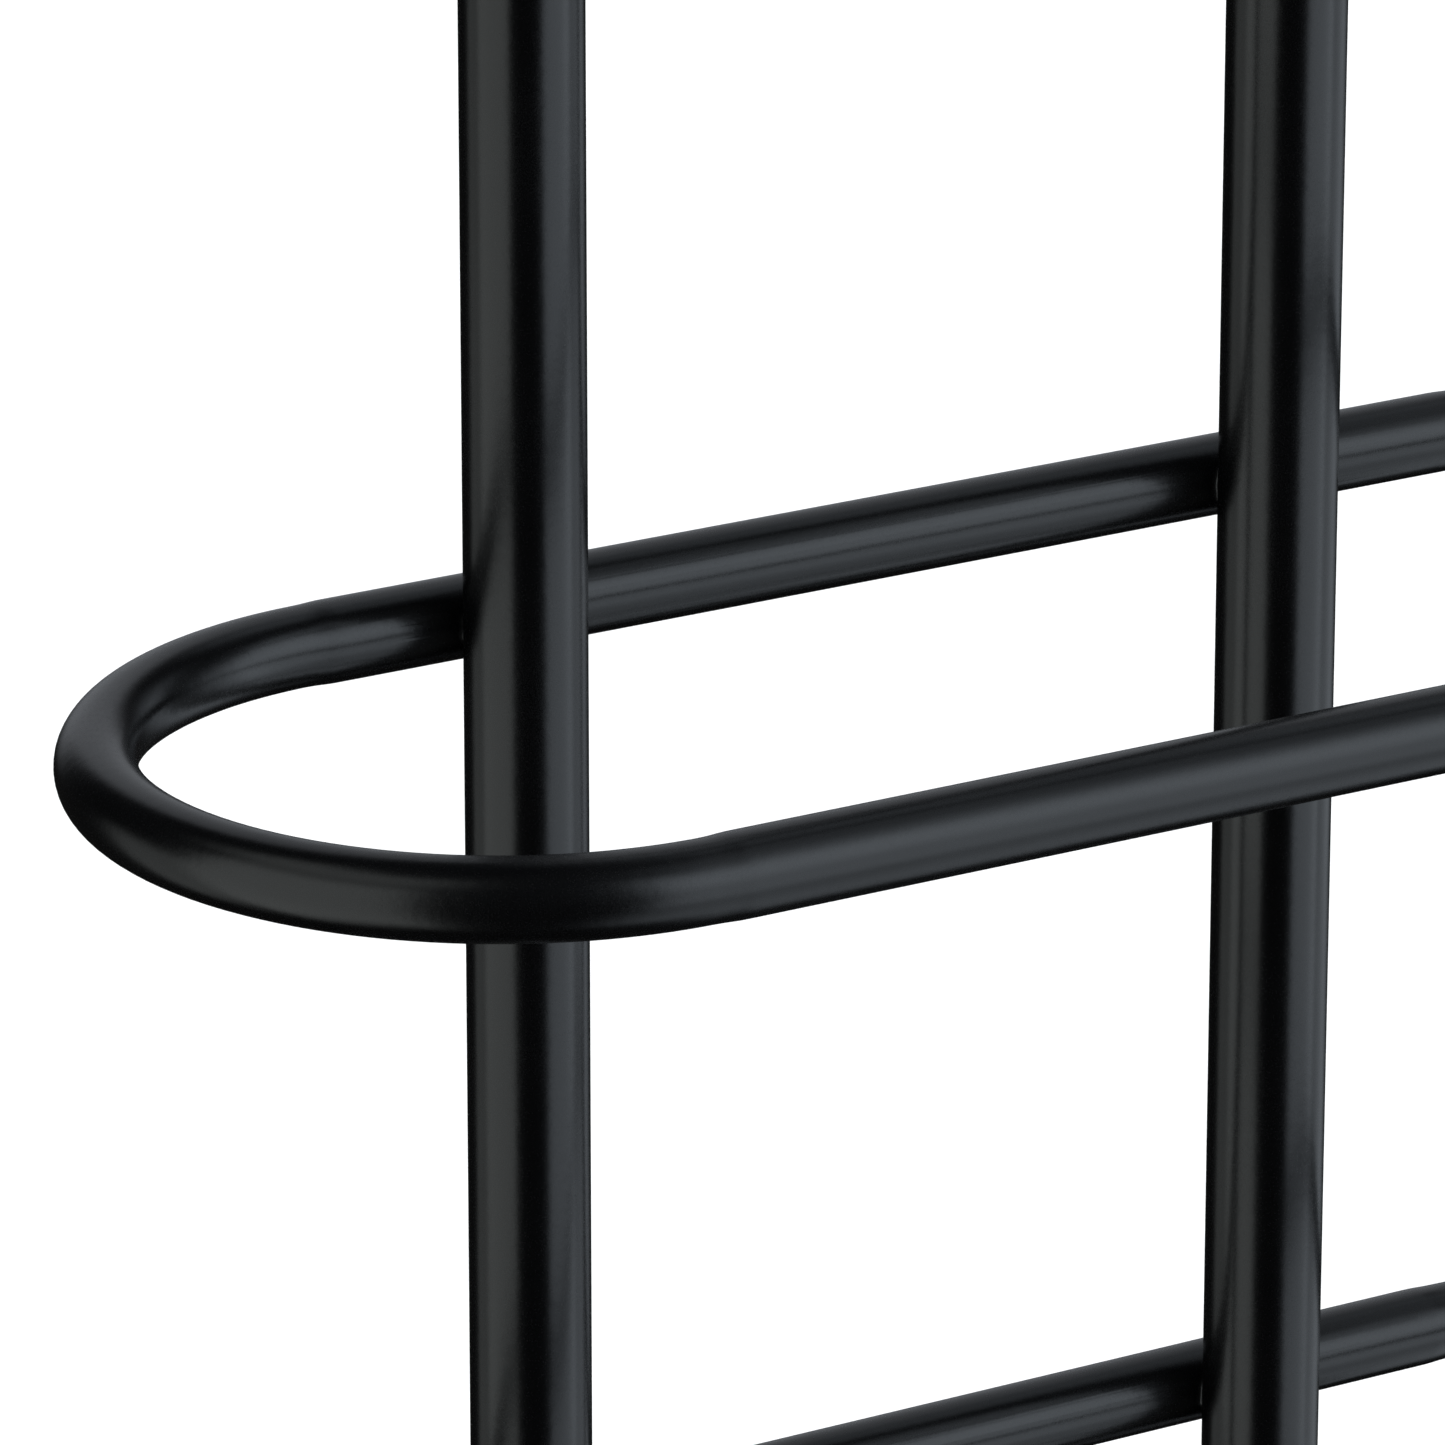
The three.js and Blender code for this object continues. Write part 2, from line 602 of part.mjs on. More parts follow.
// The knob's local +Z points out of the control face, and its pointer rib points down and left at rest.
function knob() {
  const front = KNOB_RADIUS - KNOB_DRAFT;
  const skirt = turned(
    [
      [0, KNOB_SKIRT],
      [KNOB_RADIUS - KNOB_SKIRT, KNOB_SKIRT],
      [KNOB_RADIUS - KNOB_SKIRT, GAP],
      [KNOB_RADIUS, GAP],
      [front, KNOB_HEIGHT - KNOB_CHAMFER],
      [front - KNOB_CHAMFER, KNOB_HEIGHT],
      [0, KNOB_HEIGHT],
    ],
    POST_SIDES,
  );
  const socketEnd = KNOB_HEIGHT - KNOB_FRONT_WALL;
  const socket = cylinder(SHAFT_RADIUS + GAP, KNOB_SKIRT - OVERRUN, socketEnd, SMALL_SIDES);
  const rib = box(RIB_WIDTH, RIB_LENGTH, KNOB_HEIGHT - OVERRUN, KNOB_HEIGHT + RIB_PROUD);
  rib.translate(0, KNOB_RADIUS - RIB_INSET - RIB_LENGTH / 2, 0);
  return cut(join(skirt, rib.rotateZ((3 * Math.PI) / 4)), socket);
}

const BOARD_FRONT = 12; // distance of the board's front from the post's axis, towards the control face
const BOARD_THICKNESS = 1.6;
const BOARD_WIDTH = 38;
const BOARD_TOP = HOUSING_TOP - 11;
const BOARD_BOTTOM = HOUSING_BOTTOM + 3;

const SHAFT_END = BOARD_FRONT + 4;
const SHAFT_INSET = 4; // from the knob's front
const POT_RADIUS = 8;
const POT_DEPTH = 6.5;
const BUSHING_RADIUS = 5; // of the potentiometer's neck, behind the control face
const BUTTON_FLANGE = 1.3; // how far the button's rim stands out behind the face
const BUTTON_FLANGE_THICKNESS = 1.2;
const BUTTON_PROUD = 2;
const BUTTON_CHAMFER = 0.5;
const BUTTON_STEM_RADIUS = 2;
const BUTTON_STEM = 3.7;
const SWITCH_WIDTH = 6;
const LENS_FLANGE = 1;
const LENS_PROUD = 0.7;
const LENS_CHAMFER = 0.5;

function addControls(head) {
  // Local +Z points out of the control face, and local +Y points up.
  const knobAxis = place(head, 0, 0, KNOB_Z, Math.PI / 2);
  const knobSeat = place(knobAxis, 0, 0, FRONT_FACE);
  piece(knobSeat, "thermostat_knob", knob(), BLACK_PLASTIC);
  const shaft = cylinder(SHAFT_RADIUS, SHAFT_END, FRONT_FACE + KNOB_HEIGHT - SHAFT_INSET, SMALL_SIDES);
  piece(knobAxis, "knob_shaft", shaft, STEEL);
  const potBack = BOARD_FRONT + GAP;
  const potentiometer = turned([
    [0, potBack],
    [POT_RADIUS, potBack],
    [POT_RADIUS, potBack + POT_DEPTH],
    [BUSHING_RADIUS, potBack + POT_DEPTH],
    [BUSHING_RADIUS, FRONT_INSIDE - GAP],
    [SHAFT_RADIUS + GAP, FRONT_INSIDE - GAP],
    [SHAFT_RADIUS + GAP, SHAFT_END - GAP],
    [0, SHAFT_END - GAP],
  ]);
  piece(knobAxis, "potentiometer", potentiometer, GREY_PLASTIC);

  const buttonAxis = place(head, 0, 0, BUTTON_Z, Math.PI / 2);
  const flangeFront = FRONT_INSIDE - GAP;
  const flangeBack = flangeFront - BUTTON_FLANGE_THICKNESS;
  const stemEnd = flangeFront - BUTTON_STEM;
  const buttonFront = FRONT_FACE + BUTTON_PROUD;
  const button = turned([
    [0, stemEnd],
    [BUTTON_STEM_RADIUS, stemEnd],
    [BUTTON_STEM_RADIUS, flangeBack],
    [BUTTON_RADIUS + BUTTON_FLANGE, flangeBack],
    [BUTTON_RADIUS + BUTTON_FLANGE, flangeFront],
    [BUTTON_RADIUS, flangeFront],
    [BUTTON_RADIUS, buttonFront - BUTTON_CHAMFER],
    [BUTTON_RADIUS - BUTTON_CHAMFER, buttonFront],
    [0, buttonFront],
  ]);
  piece(buttonAxis, "power_button", button, GREY_PLASTIC);
  const switchFront = stemEnd - BUTTON_TRAVEL - GAP;
  const switchBody = box(SWITCH_WIDTH, SWITCH_WIDTH, BOARD_FRONT + GAP, switchFront);
  piece(buttonAxis, "button_switch", switchBody, BLACK_PLASTIC);

  const lensFront = FRONT_FACE + LENS_PROUD;
  const lens = turned(
    [
      [0, flangeFront - LENS_FLANGE],
      [LENS_RADIUS + LENS_FLANGE, flangeFront - LENS_FLANGE],
      [LENS_RADIUS + LENS_FLANGE, flangeFront],
      [LENS_RADIUS, flangeFront],
      [LENS_RADIUS, lensFront - LENS_CHAMFER],
      [LENS_RADIUS - LENS_CHAMFER, lensFront],
      [0, lensFront],
    ],
    SMALL_SIDES,
  );
  piece(buttonAxis, "indicator_lens", lens.translate(LENS_OFFSET, 0, 0), AMBER);
}

const BLOCK_WIDTH = 20;
const BLOCK_DEPTH = 8;
const BLOCK_HEIGHT = 10;
const BLOCK_ABOVE_EDGE = 2;
const WIRE_PITCH = 6;
const WIRE_HOLE = 1.6; // radius
const WIRE_DEPTH = 7;
const CUTOUT_RADIUS = 4;
const CUTOUT_DISC = 5;
const CUTOUT_FOOT_RADIUS = 2.5;
const CUTOUT_FOOT = 3;
const CUTOUT_PLACE = 14.5; // from the post's axis, both across and back

function addCircuit(head) {
  const board = box(BOARD_WIDTH, BOARD_THICKNESS, BOARD_BOTTOM, BOARD_TOP);
  board.translate(0, -BOARD_FRONT + BOARD_THICKNESS / 2, 0);
  piece(head, "circuit_board", board, CIRCUIT_GREEN);

  const blockFront = -BOARD_FRONT + BOARD_THICKNESS + GAP;
  const blockBottom = BOARD_BOTTOM + BLOCK_ABOVE_EDGE;
  const block = box(BLOCK_WIDTH, BLOCK_DEPTH, blockBottom, blockBottom + BLOCK_HEIGHT);
  const wireHoles = [-WIRE_PITCH, 0, WIRE_PITCH].map((x) => {
    const hole = cylinder(WIRE_HOLE, blockBottom - OVERRUN, blockBottom + WIRE_DEPTH, BORE_SIDES);
    return hole.translate(x, 0, 0);
  });
  const blockY = blockFront + BLOCK_DEPTH / 2;
  piece(head, "terminal_block", cut(block, ...wireHoles).translate(0, blockY, 0), GREY_PLASTIC);

  const roof = HOUSING_ROOF - GAP;
  const discBottom = roof - CUTOUT_DISC;
  const disc = cylinder(CUTOUT_RADIUS, discBottom, roof, SMALL_SIDES);
  const foot = cylinder(CUTOUT_FOOT_RADIUS, discBottom - CUTOUT_FOOT, discBottom + OVERRUN, BORE_SIDES);
  piece(head, "thermal_cutout", join(disc, foot).translate(CUTOUT_PLACE, CUTOUT_PLACE, 0), BLACK_PLASTIC);
}

const GLAND_BORE = 3.6;
const GLAND_LENGTH = 11; // below its flange's upper face
const GLAND_FLANGE = 3.5;
const GLAND_FLANGE_RADIUS = 8.2;
const GLAND_WALL = 1.1;
const GLAND_INSIDE = 4; // how far the gland reaches above the base
const GLAND_SEAL_HEIGHT = 5;
const GLAND_SEAL_BORE = 2.4;
const NUT_MOUTH = 4; // radius of the nut's opening for the cord
const NUT_FLOOR = 3;
const NUT_CHAMFER = 1.7;
const NUT_CHAMFER_HEIGHT = 2;
const NUT_BELOW_FLANGE = 0.5;

function addGland(head) {
  const flangeTop = BASE_BOTTOM - GAP;
  const flangeBottom = flangeTop - GLAND_FLANGE;
  const end = flangeTop - GLAND_LENGTH;
  const seat = end + GLAND_SEAL_HEIGHT;
  const pocket = GLAND_RADIUS - GLAND_WALL;
  const inside = BASE_TOP + GLAND_INSIDE;
  const body = turned([
    [GLAND_BORE, inside],
    [GLAND_BORE, seat],
    [pocket, seat],
    [pocket, end],
    [GLAND_RADIUS, end],
    [GLAND_RADIUS, flangeBottom],
    [GLAND_FLANGE_RADIUS, flangeBottom],
    [GLAND_FLANGE_RADIUS, flangeTop],
    [GLAND_RADIUS, flangeTop],
    [GLAND_RADIUS, inside],
    [GLAND_BORE, inside],
  ]);
  piece(head, "cable_gland", body, BLACK_PLASTIC);

  const nutTop = flangeBottom - NUT_BELOW_FLANGE;
  const nutBottom = end - NUT_FLOOR;
  const nut = turned([
    [GLAND_RADIUS + GAP, nutTop],
    [GLAND_RADIUS + GAP, end - GAP],
    [NUT_MOUTH, end - GAP],
    [NUT_MOUTH, nutBottom],
    [GLAND_FLANGE_RADIUS - NUT_CHAMFER, nutBottom],
    [GLAND_FLANGE_RADIUS, nutBottom + NUT_CHAMFER_HEIGHT],
    [GLAND_FLANGE_RADIUS, nutTop],
    [GLAND_RADIUS + GAP, nutTop],
  ]);
  piece(head, "gland_nut", nut, BLACK_PLASTIC);
  piece(head, "gland_seal", ring(GLAND_SEAL_BORE, pocket - GAP, end + GAP, seat - GAP), RUBBER);
}

const controlHead = place(rack, POST_SPACING / 2, -POST_TO_WALL, 0);
piece(controlHead, "control_housing", controlHousing(), BLACK_PLASTIC);
piece(controlHead, "control_base", controlBase(), BLACK_PLASTIC);
SCREW_PLACES.forEach(([x, y], i) => {
  piece(controlHead, `base_screw_${i + 1}`, baseScrew().translate(x, y, 0), STEEL);
});
addControls(controlHead);
addCircuit(controlHead);
addGland(controlHead);

export default rack;
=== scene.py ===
"""Looks of a wall-hung electric towel warmer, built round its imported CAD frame.

Everything is in metres in the frame of the CAD model: +Z up, +X along the hoops, +Y into the wall.
Sizes written here are in millimetres times MM. Places come from the boxes of the CAD nodes.
"""

import json
import math

import bmesh
import bpy
import numpy as np
from mathutils import Matrix, Vector


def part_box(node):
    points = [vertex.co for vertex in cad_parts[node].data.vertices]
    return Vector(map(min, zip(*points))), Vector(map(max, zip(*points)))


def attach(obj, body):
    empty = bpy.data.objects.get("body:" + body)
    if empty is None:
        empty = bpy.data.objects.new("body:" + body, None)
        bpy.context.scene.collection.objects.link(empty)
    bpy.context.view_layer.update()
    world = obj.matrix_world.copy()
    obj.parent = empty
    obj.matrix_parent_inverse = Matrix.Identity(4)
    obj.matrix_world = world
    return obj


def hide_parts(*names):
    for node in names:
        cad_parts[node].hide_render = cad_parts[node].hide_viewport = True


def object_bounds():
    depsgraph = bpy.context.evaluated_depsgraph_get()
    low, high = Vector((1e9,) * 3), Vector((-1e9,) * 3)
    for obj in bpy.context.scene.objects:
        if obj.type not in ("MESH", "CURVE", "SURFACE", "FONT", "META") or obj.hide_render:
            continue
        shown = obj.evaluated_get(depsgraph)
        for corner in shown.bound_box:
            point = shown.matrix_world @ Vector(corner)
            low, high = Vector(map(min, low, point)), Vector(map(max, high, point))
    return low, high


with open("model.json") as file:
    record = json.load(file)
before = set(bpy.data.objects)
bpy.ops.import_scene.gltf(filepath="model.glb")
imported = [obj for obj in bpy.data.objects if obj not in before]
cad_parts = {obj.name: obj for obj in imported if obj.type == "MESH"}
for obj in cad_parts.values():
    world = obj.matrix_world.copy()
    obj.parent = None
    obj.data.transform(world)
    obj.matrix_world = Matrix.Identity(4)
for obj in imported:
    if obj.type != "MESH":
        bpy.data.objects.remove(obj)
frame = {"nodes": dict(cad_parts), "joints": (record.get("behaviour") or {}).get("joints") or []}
cad_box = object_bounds()

MM = 0.001
ARC_STEPS = 6  # facets in a rounded corner
SIDES = 64  # facets round a turned piece
FINE_SIDES = 128  # facets round a post
HALF_TURN = math.pi
FULL_TURN = 2 * HALF_TURN
QUARTER_TURN = HALF_TURN / 2
TO_ROOM = Matrix.Rotation(QUARTER_TURN, 4, "X")  # local Z points at the room
TO_WALL = Matrix.Rotation(-QUARTER_TURN, 4, "X")  # local Z points at the wall
DOWNWARD = Matrix.Rotation(HALF_TURN, 4, "X")  # local Z points down
MERGE_DISTANCE = 1e-7  # points that are closer than this become one
ON_AXIS = 1e-9  # a ring with a radius under this is a point
SHARP = 38  # the angle between two facets, in degrees, from which their edge stays crisp

# ---- mesh tools


def new_object(name, points, faces):
    """A closed mesh object with its faces pointing out."""
    mesh = bpy.data.meshes.new(name)
    mesh.from_pydata([tuple(p) for p in points], [], faces)
    work = bmesh.new()
    work.from_mesh(mesh)
    bmesh.ops.remove_doubles(work, verts=work.verts, dist=MERGE_DISTANCE)
    bmesh.ops.recalc_face_normals(work, faces=work.faces)
    work.to_mesh(mesh)
    work.free()
    made = bpy.data.objects.new(name, mesh)
    bpy.context.scene.collection.objects.link(made)
    return made


def loft(name, rings, wrap=False):
    """A skin through rings of points, where one point is a pole. wrap joins the last ring to the first."""
    points = [p for ring in rings for p in ring]
    starts = np.cumsum([0] + [len(ring) for ring in rings])
    faces = []
    pairs = [(i, i + 1) for i in range(len(rings) - 1)]
    if wrap:
        pairs.append((len(rings) - 1, 0))
    for a, b in pairs:
        count = max(len(rings[a]), len(rings[b]))
        for i in range(count):
            j = (i + 1) % count
            corners = [(a, i), (a, j), (b, j), (b, i)]
            face = [int(starts[r]) + k % len(rings[r]) for r, k in corners]
            faces.append(list(dict.fromkeys(face)))
    if not wrap:
        for r in (0, len(rings) - 1):
            if len(rings[r]) > 2:
                faces.append([int(starts[r]) + k for k in range(len(rings[r]))])
    return new_object(name, points, faces)


def rounded(outline, closed):
    """Points of an outline of (a, b) or (a, b, radius) corners, with an arc where a radius is given."""
    found = []
    count = len(outline)
    for i, corner in enumerate(outline):
        here = Vector(corner[:2])
        end = not closed and i in (0, count - 1)
        if len(corner) < 3 or end:
            found.append(here)
            continue
        before = (Vector(outline[i - 1][:2]) - here).normalized()
        after = (Vector(outline[(i + 1) % count][:2]) - here).normalized()
        half = before.angle(after) / 2
        radius = corner[2]
        centre = here + (before + after).normalized() * (radius / math.sin(half))
        start = here + before * (radius / math.tan(half)) - centre
        stop = here + after * (radius / math.tan(half)) - centre
        first = math.atan2(start.y, start.x)
        swing = math.atan2(stop.y, stop.x) - first
        swing = (swing + HALF_TURN) % FULL_TURN - HALF_TURN
        for k in range(ARC_STEPS + 1):
            angle = first + swing * k / ARC_STEPS
            found.append(centre + Vector((math.cos(angle), math.sin(angle))) * radius)
    return found


def circle(radius, height, where, sides, flute=None):
    """A ring of points about where's local Z. flute gives the factor on the radius at an angle."""
    if radius < ON_AXIS:
        return [where @ Vector((0, 0, height))]
    ring = []
    for i in range(sides):
        angle = FULL_TURN * i / sides
        reach = radius * (flute(angle) if flute else 1)
        ring.append(where @ Vector((reach * math.cos(angle), reach * math.sin(angle), height)))
    return ring


def turned(name, profile, where, sides=SIDES):
    """A piece turned about where's local Z from (radius, height) or (radius, height, corner radius)."""
    open_profile = profile[0][0] == 0
    outline = rounded(profile, closed=not open_profile)
    return loft(name, [circle(p.x, p.y, where, sides) for p in outline], wrap=not open_profile)


def prism(name, outline, bottom, top, where, edge=0.0):
    """An outline of (x, y, corner radius) pushed along where's local Z. edge rounds the two rims."""
    flat = rounded(outline, closed=True)
    middle = sum(flat, Vector((0, 0))) / len(flat)
    reach = [max(abs(p[k] - middle[k]) for p in flat) for k in (0, 1)]
    arc = [QUARTER_TURN * k / ARC_STEPS for k in range(ARC_STEPS + 1)] if edge else [0]
    levels = [(bottom + edge * (1 - math.sin(a)), edge * (1 - math.cos(a))) for a in reversed(arc)]
    levels += [(top - edge * (1 - math.sin(a)), edge * (1 - math.cos(a))) for a in arc]
    rings = []
    for height, inset in levels:
        wide, deep = [1 - inset / r for r in reach]
        ring = [middle + Vector(((p.x - middle.x) * wide, (p.y - middle.y) * deep)) for p in flat]
        rings.append([where @ Vector((p.x, p.y, height)) for p in ring])
    return loft(name, rings)


def rectangle(width, depth, corner, x=0.0, y=0.0):
    signs = [(1, -1), (1, 1), (-1, 1), (-1, -1)]
    return [(x + sx * width / 2, y + sy * depth / 2, corner) for sx, sy in signs]


def hexagon(across, corner):
    radius = across / math.sqrt(3)
    angles = [HALF_TURN * i / 3 for i in range(6)]
    return [(radius * math.cos(a), radius * math.sin(a), corner) for a in angles]


def combine(made, operation, *tools):
    """The result of a boolean with each tool in turn. The tools are used up."""
    for tool in tools:
        step = made.modifiers.new("step", "BOOLEAN")
        step.operation = operation
        step.solver = "EXACT"
        step.object = tool
        bpy.context.view_layer.update()
        depsgraph = bpy.context.evaluated_depsgraph_get()
        mesh = bpy.data.meshes.new_from_object(made.evaluated_get(depsgraph))
        made.modifiers.clear()
        made.data = mesh
        mesh.name = made.name
        bpy.data.objects.remove(tool)
    return made


def cut(made, *tools):
    return combine(made, "DIFFERENCE", *tools)


def join(made, *others):
    return combine(made, "UNION", *others)


NUT_FACE = 0.97  # radius of a nut's flat face, as a share of half its width across flats
NUT_SLOPE = math.tan(math.radians(28))  # of the chamfer
NUT_EDGE = 0.4 * MM  # radius on the hexagon's corners


def chamfered_nut(name, across, bottom, top, where, chamfered_ends=(True, True)):
    """A hexagon with the turned chamfer that a nut or a plug has on its faces."""
    corner = across / math.sqrt(3) + 0.01 * MM
    flat = across / 2 * NUT_FACE
    drop = (corner - flat) * NUT_SLOPE
    low, high = chamfered_ends
    profile = [
        (0, bottom), (flat if low else corner, bottom), (corner, bottom + (drop if low else 0)),
        (corner, top - (drop if high else 0)), (flat if high else corner, top), (0, top),
    ]
    body = prism(name, hexagon(across, NUT_EDGE), bottom, top, where)
    kept = [p for i, p in enumerate(profile) if i == 0 or p != profile[i - 1]]
    return combine(body, "INTERSECT", turned("chamfer_tool", kept, where))


def drill(radius, bottom, top, where, countersink=0.0):
    """A drill for cut(). countersink widens it at its upper end."""
    profile = [(0, bottom), (radius, bottom), (radius, top - countersink)]
    if countersink:
        profile += [(radius + 2 * countersink, top + countersink), (0, top + countersink)]
    else:
        profile += [(radius, top), (0, top)]
    return turned("drill_tool", profile, where)


def drill_through(radius, node, where):
    """A drill that is as long as a CAD node is high, and a little longer."""
    low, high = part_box(node)
    return drill(radius, low.z - MM, high.z + MM, where)


def settle(made, slot, *nodes, body="root", sharp=SHARP, weighted=True, material=None):
    """Shading, material, body, replaced nodes and slot of a new piece.

    The material is its slot's, unless one is given.
    """
    mesh = made.data
    mesh.materials.clear()
    mesh.materials.append(material or LOOKS[slot])
    if weighted:
        mesh.shade_smooth()
        work = bmesh.new()
        work.from_mesh(mesh)
        for edge in work.edges:
            edge.smooth = not (edge.is_manifold and edge.calc_face_angle(0) > math.radians(sharp))
        work.to_mesh(mesh)
        work.free()
        normals = made.modifiers.new("weighted_normals", "WEIGHTED_NORMAL")
        normals.keep_sharp = True
    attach(made, body)
    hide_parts(*nodes)
    return made


def upright(x, y):
    return Matrix.Translation((x, y, 0))


def centre_of(node):
    low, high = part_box(node)
    return (low + high) / 2


def axis_of(node):
    """The upright axis through the middle of a CAD node."""
    middle = centre_of(node)
    return upright(middle.x, middle.y)


def radius_of(node):
    low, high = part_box(node)
    return (high.x - low.x) / 2


# ---- materials


class Nodes:
    """A short way to write a node tree."""

    def __init__(self, tree):
        self.tree = tree

    def add(self, kind, **settings):
        node = self.tree.nodes.new(kind)
        for key, value in settings.items():
            setattr(node, key, value)
        return node

    def link(self, source, target):
        self.tree.links.new(source, target)

    def feed(self, socket, value):
        if isinstance(value, bpy.types.NodeSocket):
            self.link(value, socket)
        else:
            socket.default_value = value

    def math(self, operation, *values):
        node = self.add("ShaderNodeMath", operation=operation)
        for socket, value in zip(node.inputs, values):
            self.feed(socket, value)
        return node.outputs[0]

    def vector(self, operation, *values):
        node = self.add("ShaderNodeVectorMath", operation=operation)
        for socket, value in zip(node.inputs, values):
            self.feed(socket, value)
        return node

    def noise(self, size, detail=2.0, roughness=0.5, stretch=(1, 1, 1)):
        """Noise between 0 and 1 whose lumps are about size across, in the piece's own space."""
        place = self.add("ShaderNodeTexCoord").outputs["Object"]
        scaled = self.add("ShaderNodeMapping")
        self.link(place, scaled.inputs["Vector"])
        scaled.inputs["Scale"].default_value = [s / size for s in stretch]
        node = self.add("ShaderNodeTexNoise")
        self.link(scaled.outputs[0], node.inputs["Vector"])
        node.inputs["Scale"].default_value = 1.0
        node.inputs["Detail"].default_value = detail
        node.inputs["Roughness"].default_value = roughness
        return node.outputs[0]

    def spread(self, value, low, high, from_low=0.3, from_high=0.7):
        """value from_low..from_high as low..high, held at both ends."""
        node = self.add("ShaderNodeMapRange")
        self.feed(node.inputs["Value"], value)
        numbers = [("From Min", from_low), ("From Max", from_high), ("To Min", low), ("To Max", high)]
        for key, number in numbers:
            node.inputs[key].default_value = number
        return node.outputs[0]

    def blend(self, amount, first, second):
        node = self.add("ShaderNodeMix", data_type="RGBA")
        self.feed(node.inputs["Factor"], amount)
        colours = [s for s in node.inputs if s.type == "RGBA"]
        self.feed(colours[0], first)
        self.feed(colours[1], second)
        return next(s for s in node.outputs if s.type == "RGBA")

    def bumps(self, *layers):
        """A normal from (height, depth in metres) layers, the coarse one first."""
        normal = None
        for height, depth in layers:
            node = self.add("ShaderNodeBump")
            node.inputs["Strength"].default_value = 1.0
            node.inputs["Distance"].default_value = depth
            self.link(height, node.inputs["Height"])
            if normal:
                self.link(normal, node.inputs["Normal"])
            normal = node.outputs[0]
        return normal


def rgb(*channels):
    return (*channels, 1.0)


class Surface(Nodes):
    """A material while it is made: its node tree and its shader."""

    def __init__(self, name, metallic=0.0, ior=1.5, coat=0.0, coat_roughness=0.05):
        self.material = bpy.data.materials.new(name)
        self.material.use_nodes = True
        super().__init__(self.material.node_tree)
        self.shader = self.tree.nodes["Principled BSDF"]
        self.shader.inputs["Metallic"].default_value = metallic
        self.shader.inputs["IOR"].default_value = ior
        self.shader.inputs["Coat Weight"].default_value = coat
        self.shader.inputs["Coat Roughness"].default_value = coat_roughness

    def mottle(self, pattern, dark, light):
        """A colour that goes from dark to light as a pattern rises."""
        return self.blend(self.spread(pattern, 0, 1), rgb(*dark), rgb(*light))

    def done(self, colour, roughness, *layers):
        """The material, once its colour, its roughness and its layers of bumps are fed in."""
        self.feed(self.shader.inputs["Base Color"], colour)
        self.feed(self.shader.inputs["Roughness"], roughness)
        if layers:
            self.link(self.bumps(*layers), self.shader.inputs["Normal"])
        return self.material


def powder_coat():
    """Satin black powder coat: a fine grain on a soft orange peel."""
    made = Surface("powder_coat")
    peel = made.noise(3.2 * MM, detail=1.0)
    grain = made.noise(0.5 * MM, roughness=0.6)
    cloud = made.noise(38 * MM)
    tone = made.mottle(cloud, (0.0008, 0.0009, 0.0011), (0.0015, 0.0016, 0.0019))
    rough = made.math("ADD", made.spread(grain, 0.215, 0.285), made.spread(cloud, -0.01, 0.01))
    return made.done(tone, rough, (peel, 0.030 * MM), (grain, 0.008 * MM))


def moulded(name, dark, light, roughness, grain_size, grain_depth):
    """Moulded plastic, rubber or ceramic with a fine texture."""
    made = Surface(name)
    grain = made.noise(grain_size, detail=3.0, roughness=0.7)
    cloud = made.noise(22 * MM)
    by_grain = made.spread(grain, roughness - 0.05, roughness + 0.05)
    rough = made.math("ADD", by_grain, made.spread(cloud, 0, 0.03))
    return made.done(made.mottle(cloud, dark, light), rough, (grain, grain_depth))


def machined(name, dark, light, roughness, stretch):
    """Turned metal: fine tool lines along one axis, with a dull film."""
    made = Surface(name, metallic=1.0)
    lines = made.noise(0.35 * MM, detail=3.0, stretch=stretch)
    film = made.noise(7 * MM, detail=4.0, roughness=0.65)
    by_lines = made.spread(lines, roughness - 0.06, roughness + 0.06)
    rough = made.math("ADD", by_lines, made.spread(film, 0.06, 0))
    return made.done(made.mottle(film, dark, light), rough, (lines, 0.006 * MM))


def amber_lens():
    """A clear amber lens with a faint flow pattern."""
    made = Surface("amber_lens", ior=1.49, coat=0.4)
    made.shader.inputs["Transmission Weight"].default_value = 0.35
    flow = made.noise(1.2 * MM)
    tone = made.mottle(flow, (0.62, 0.24, 0.03), (0.85, 0.42, 0.07))
    return made.done(tone, made.spread(flow, 0.08, 0.14), (flow, 0.01 * MM))


def solder_resist():
    """Green solder resist with copper tracks that show through it as a lighter green."""
    made = Surface("solder_resist", coat=0.3, coat_roughness=0.2)
    tracks = made.add("ShaderNodeTexBrick")
    made.link(made.add("ShaderNodeTexCoord").outputs["Object"], tracks.inputs["Vector"])
    tracks.inputs["Scale"].default_value = 1 / (4.5 * MM)
    tracks.inputs["Mortar Size"].default_value = 0.07
    over_track = tracks.outputs["Fac"]
    weave = made.noise(0.7 * MM, detail=1.0)
    plain = made.mottle(weave, (0.02, 0.13, 0.055), (0.035, 0.18, 0.08))
    tone = made.blend(over_track, plain, rgb(0.09, 0.3, 0.12))
    return made.done(tone, made.spread(weave, 0.34, 0.46), (over_track, 0.03 * MM))


ROUND_UPRIGHT = (0.05, 0.05, 1)  # tool lines round a piece that was turned about Z
ROUND_DEEP = (0.05, 1, 0.05)  # and about Y
STEEL_TONES = ((0.42, 0.43, 0.44), (0.6, 0.61, 0.62))

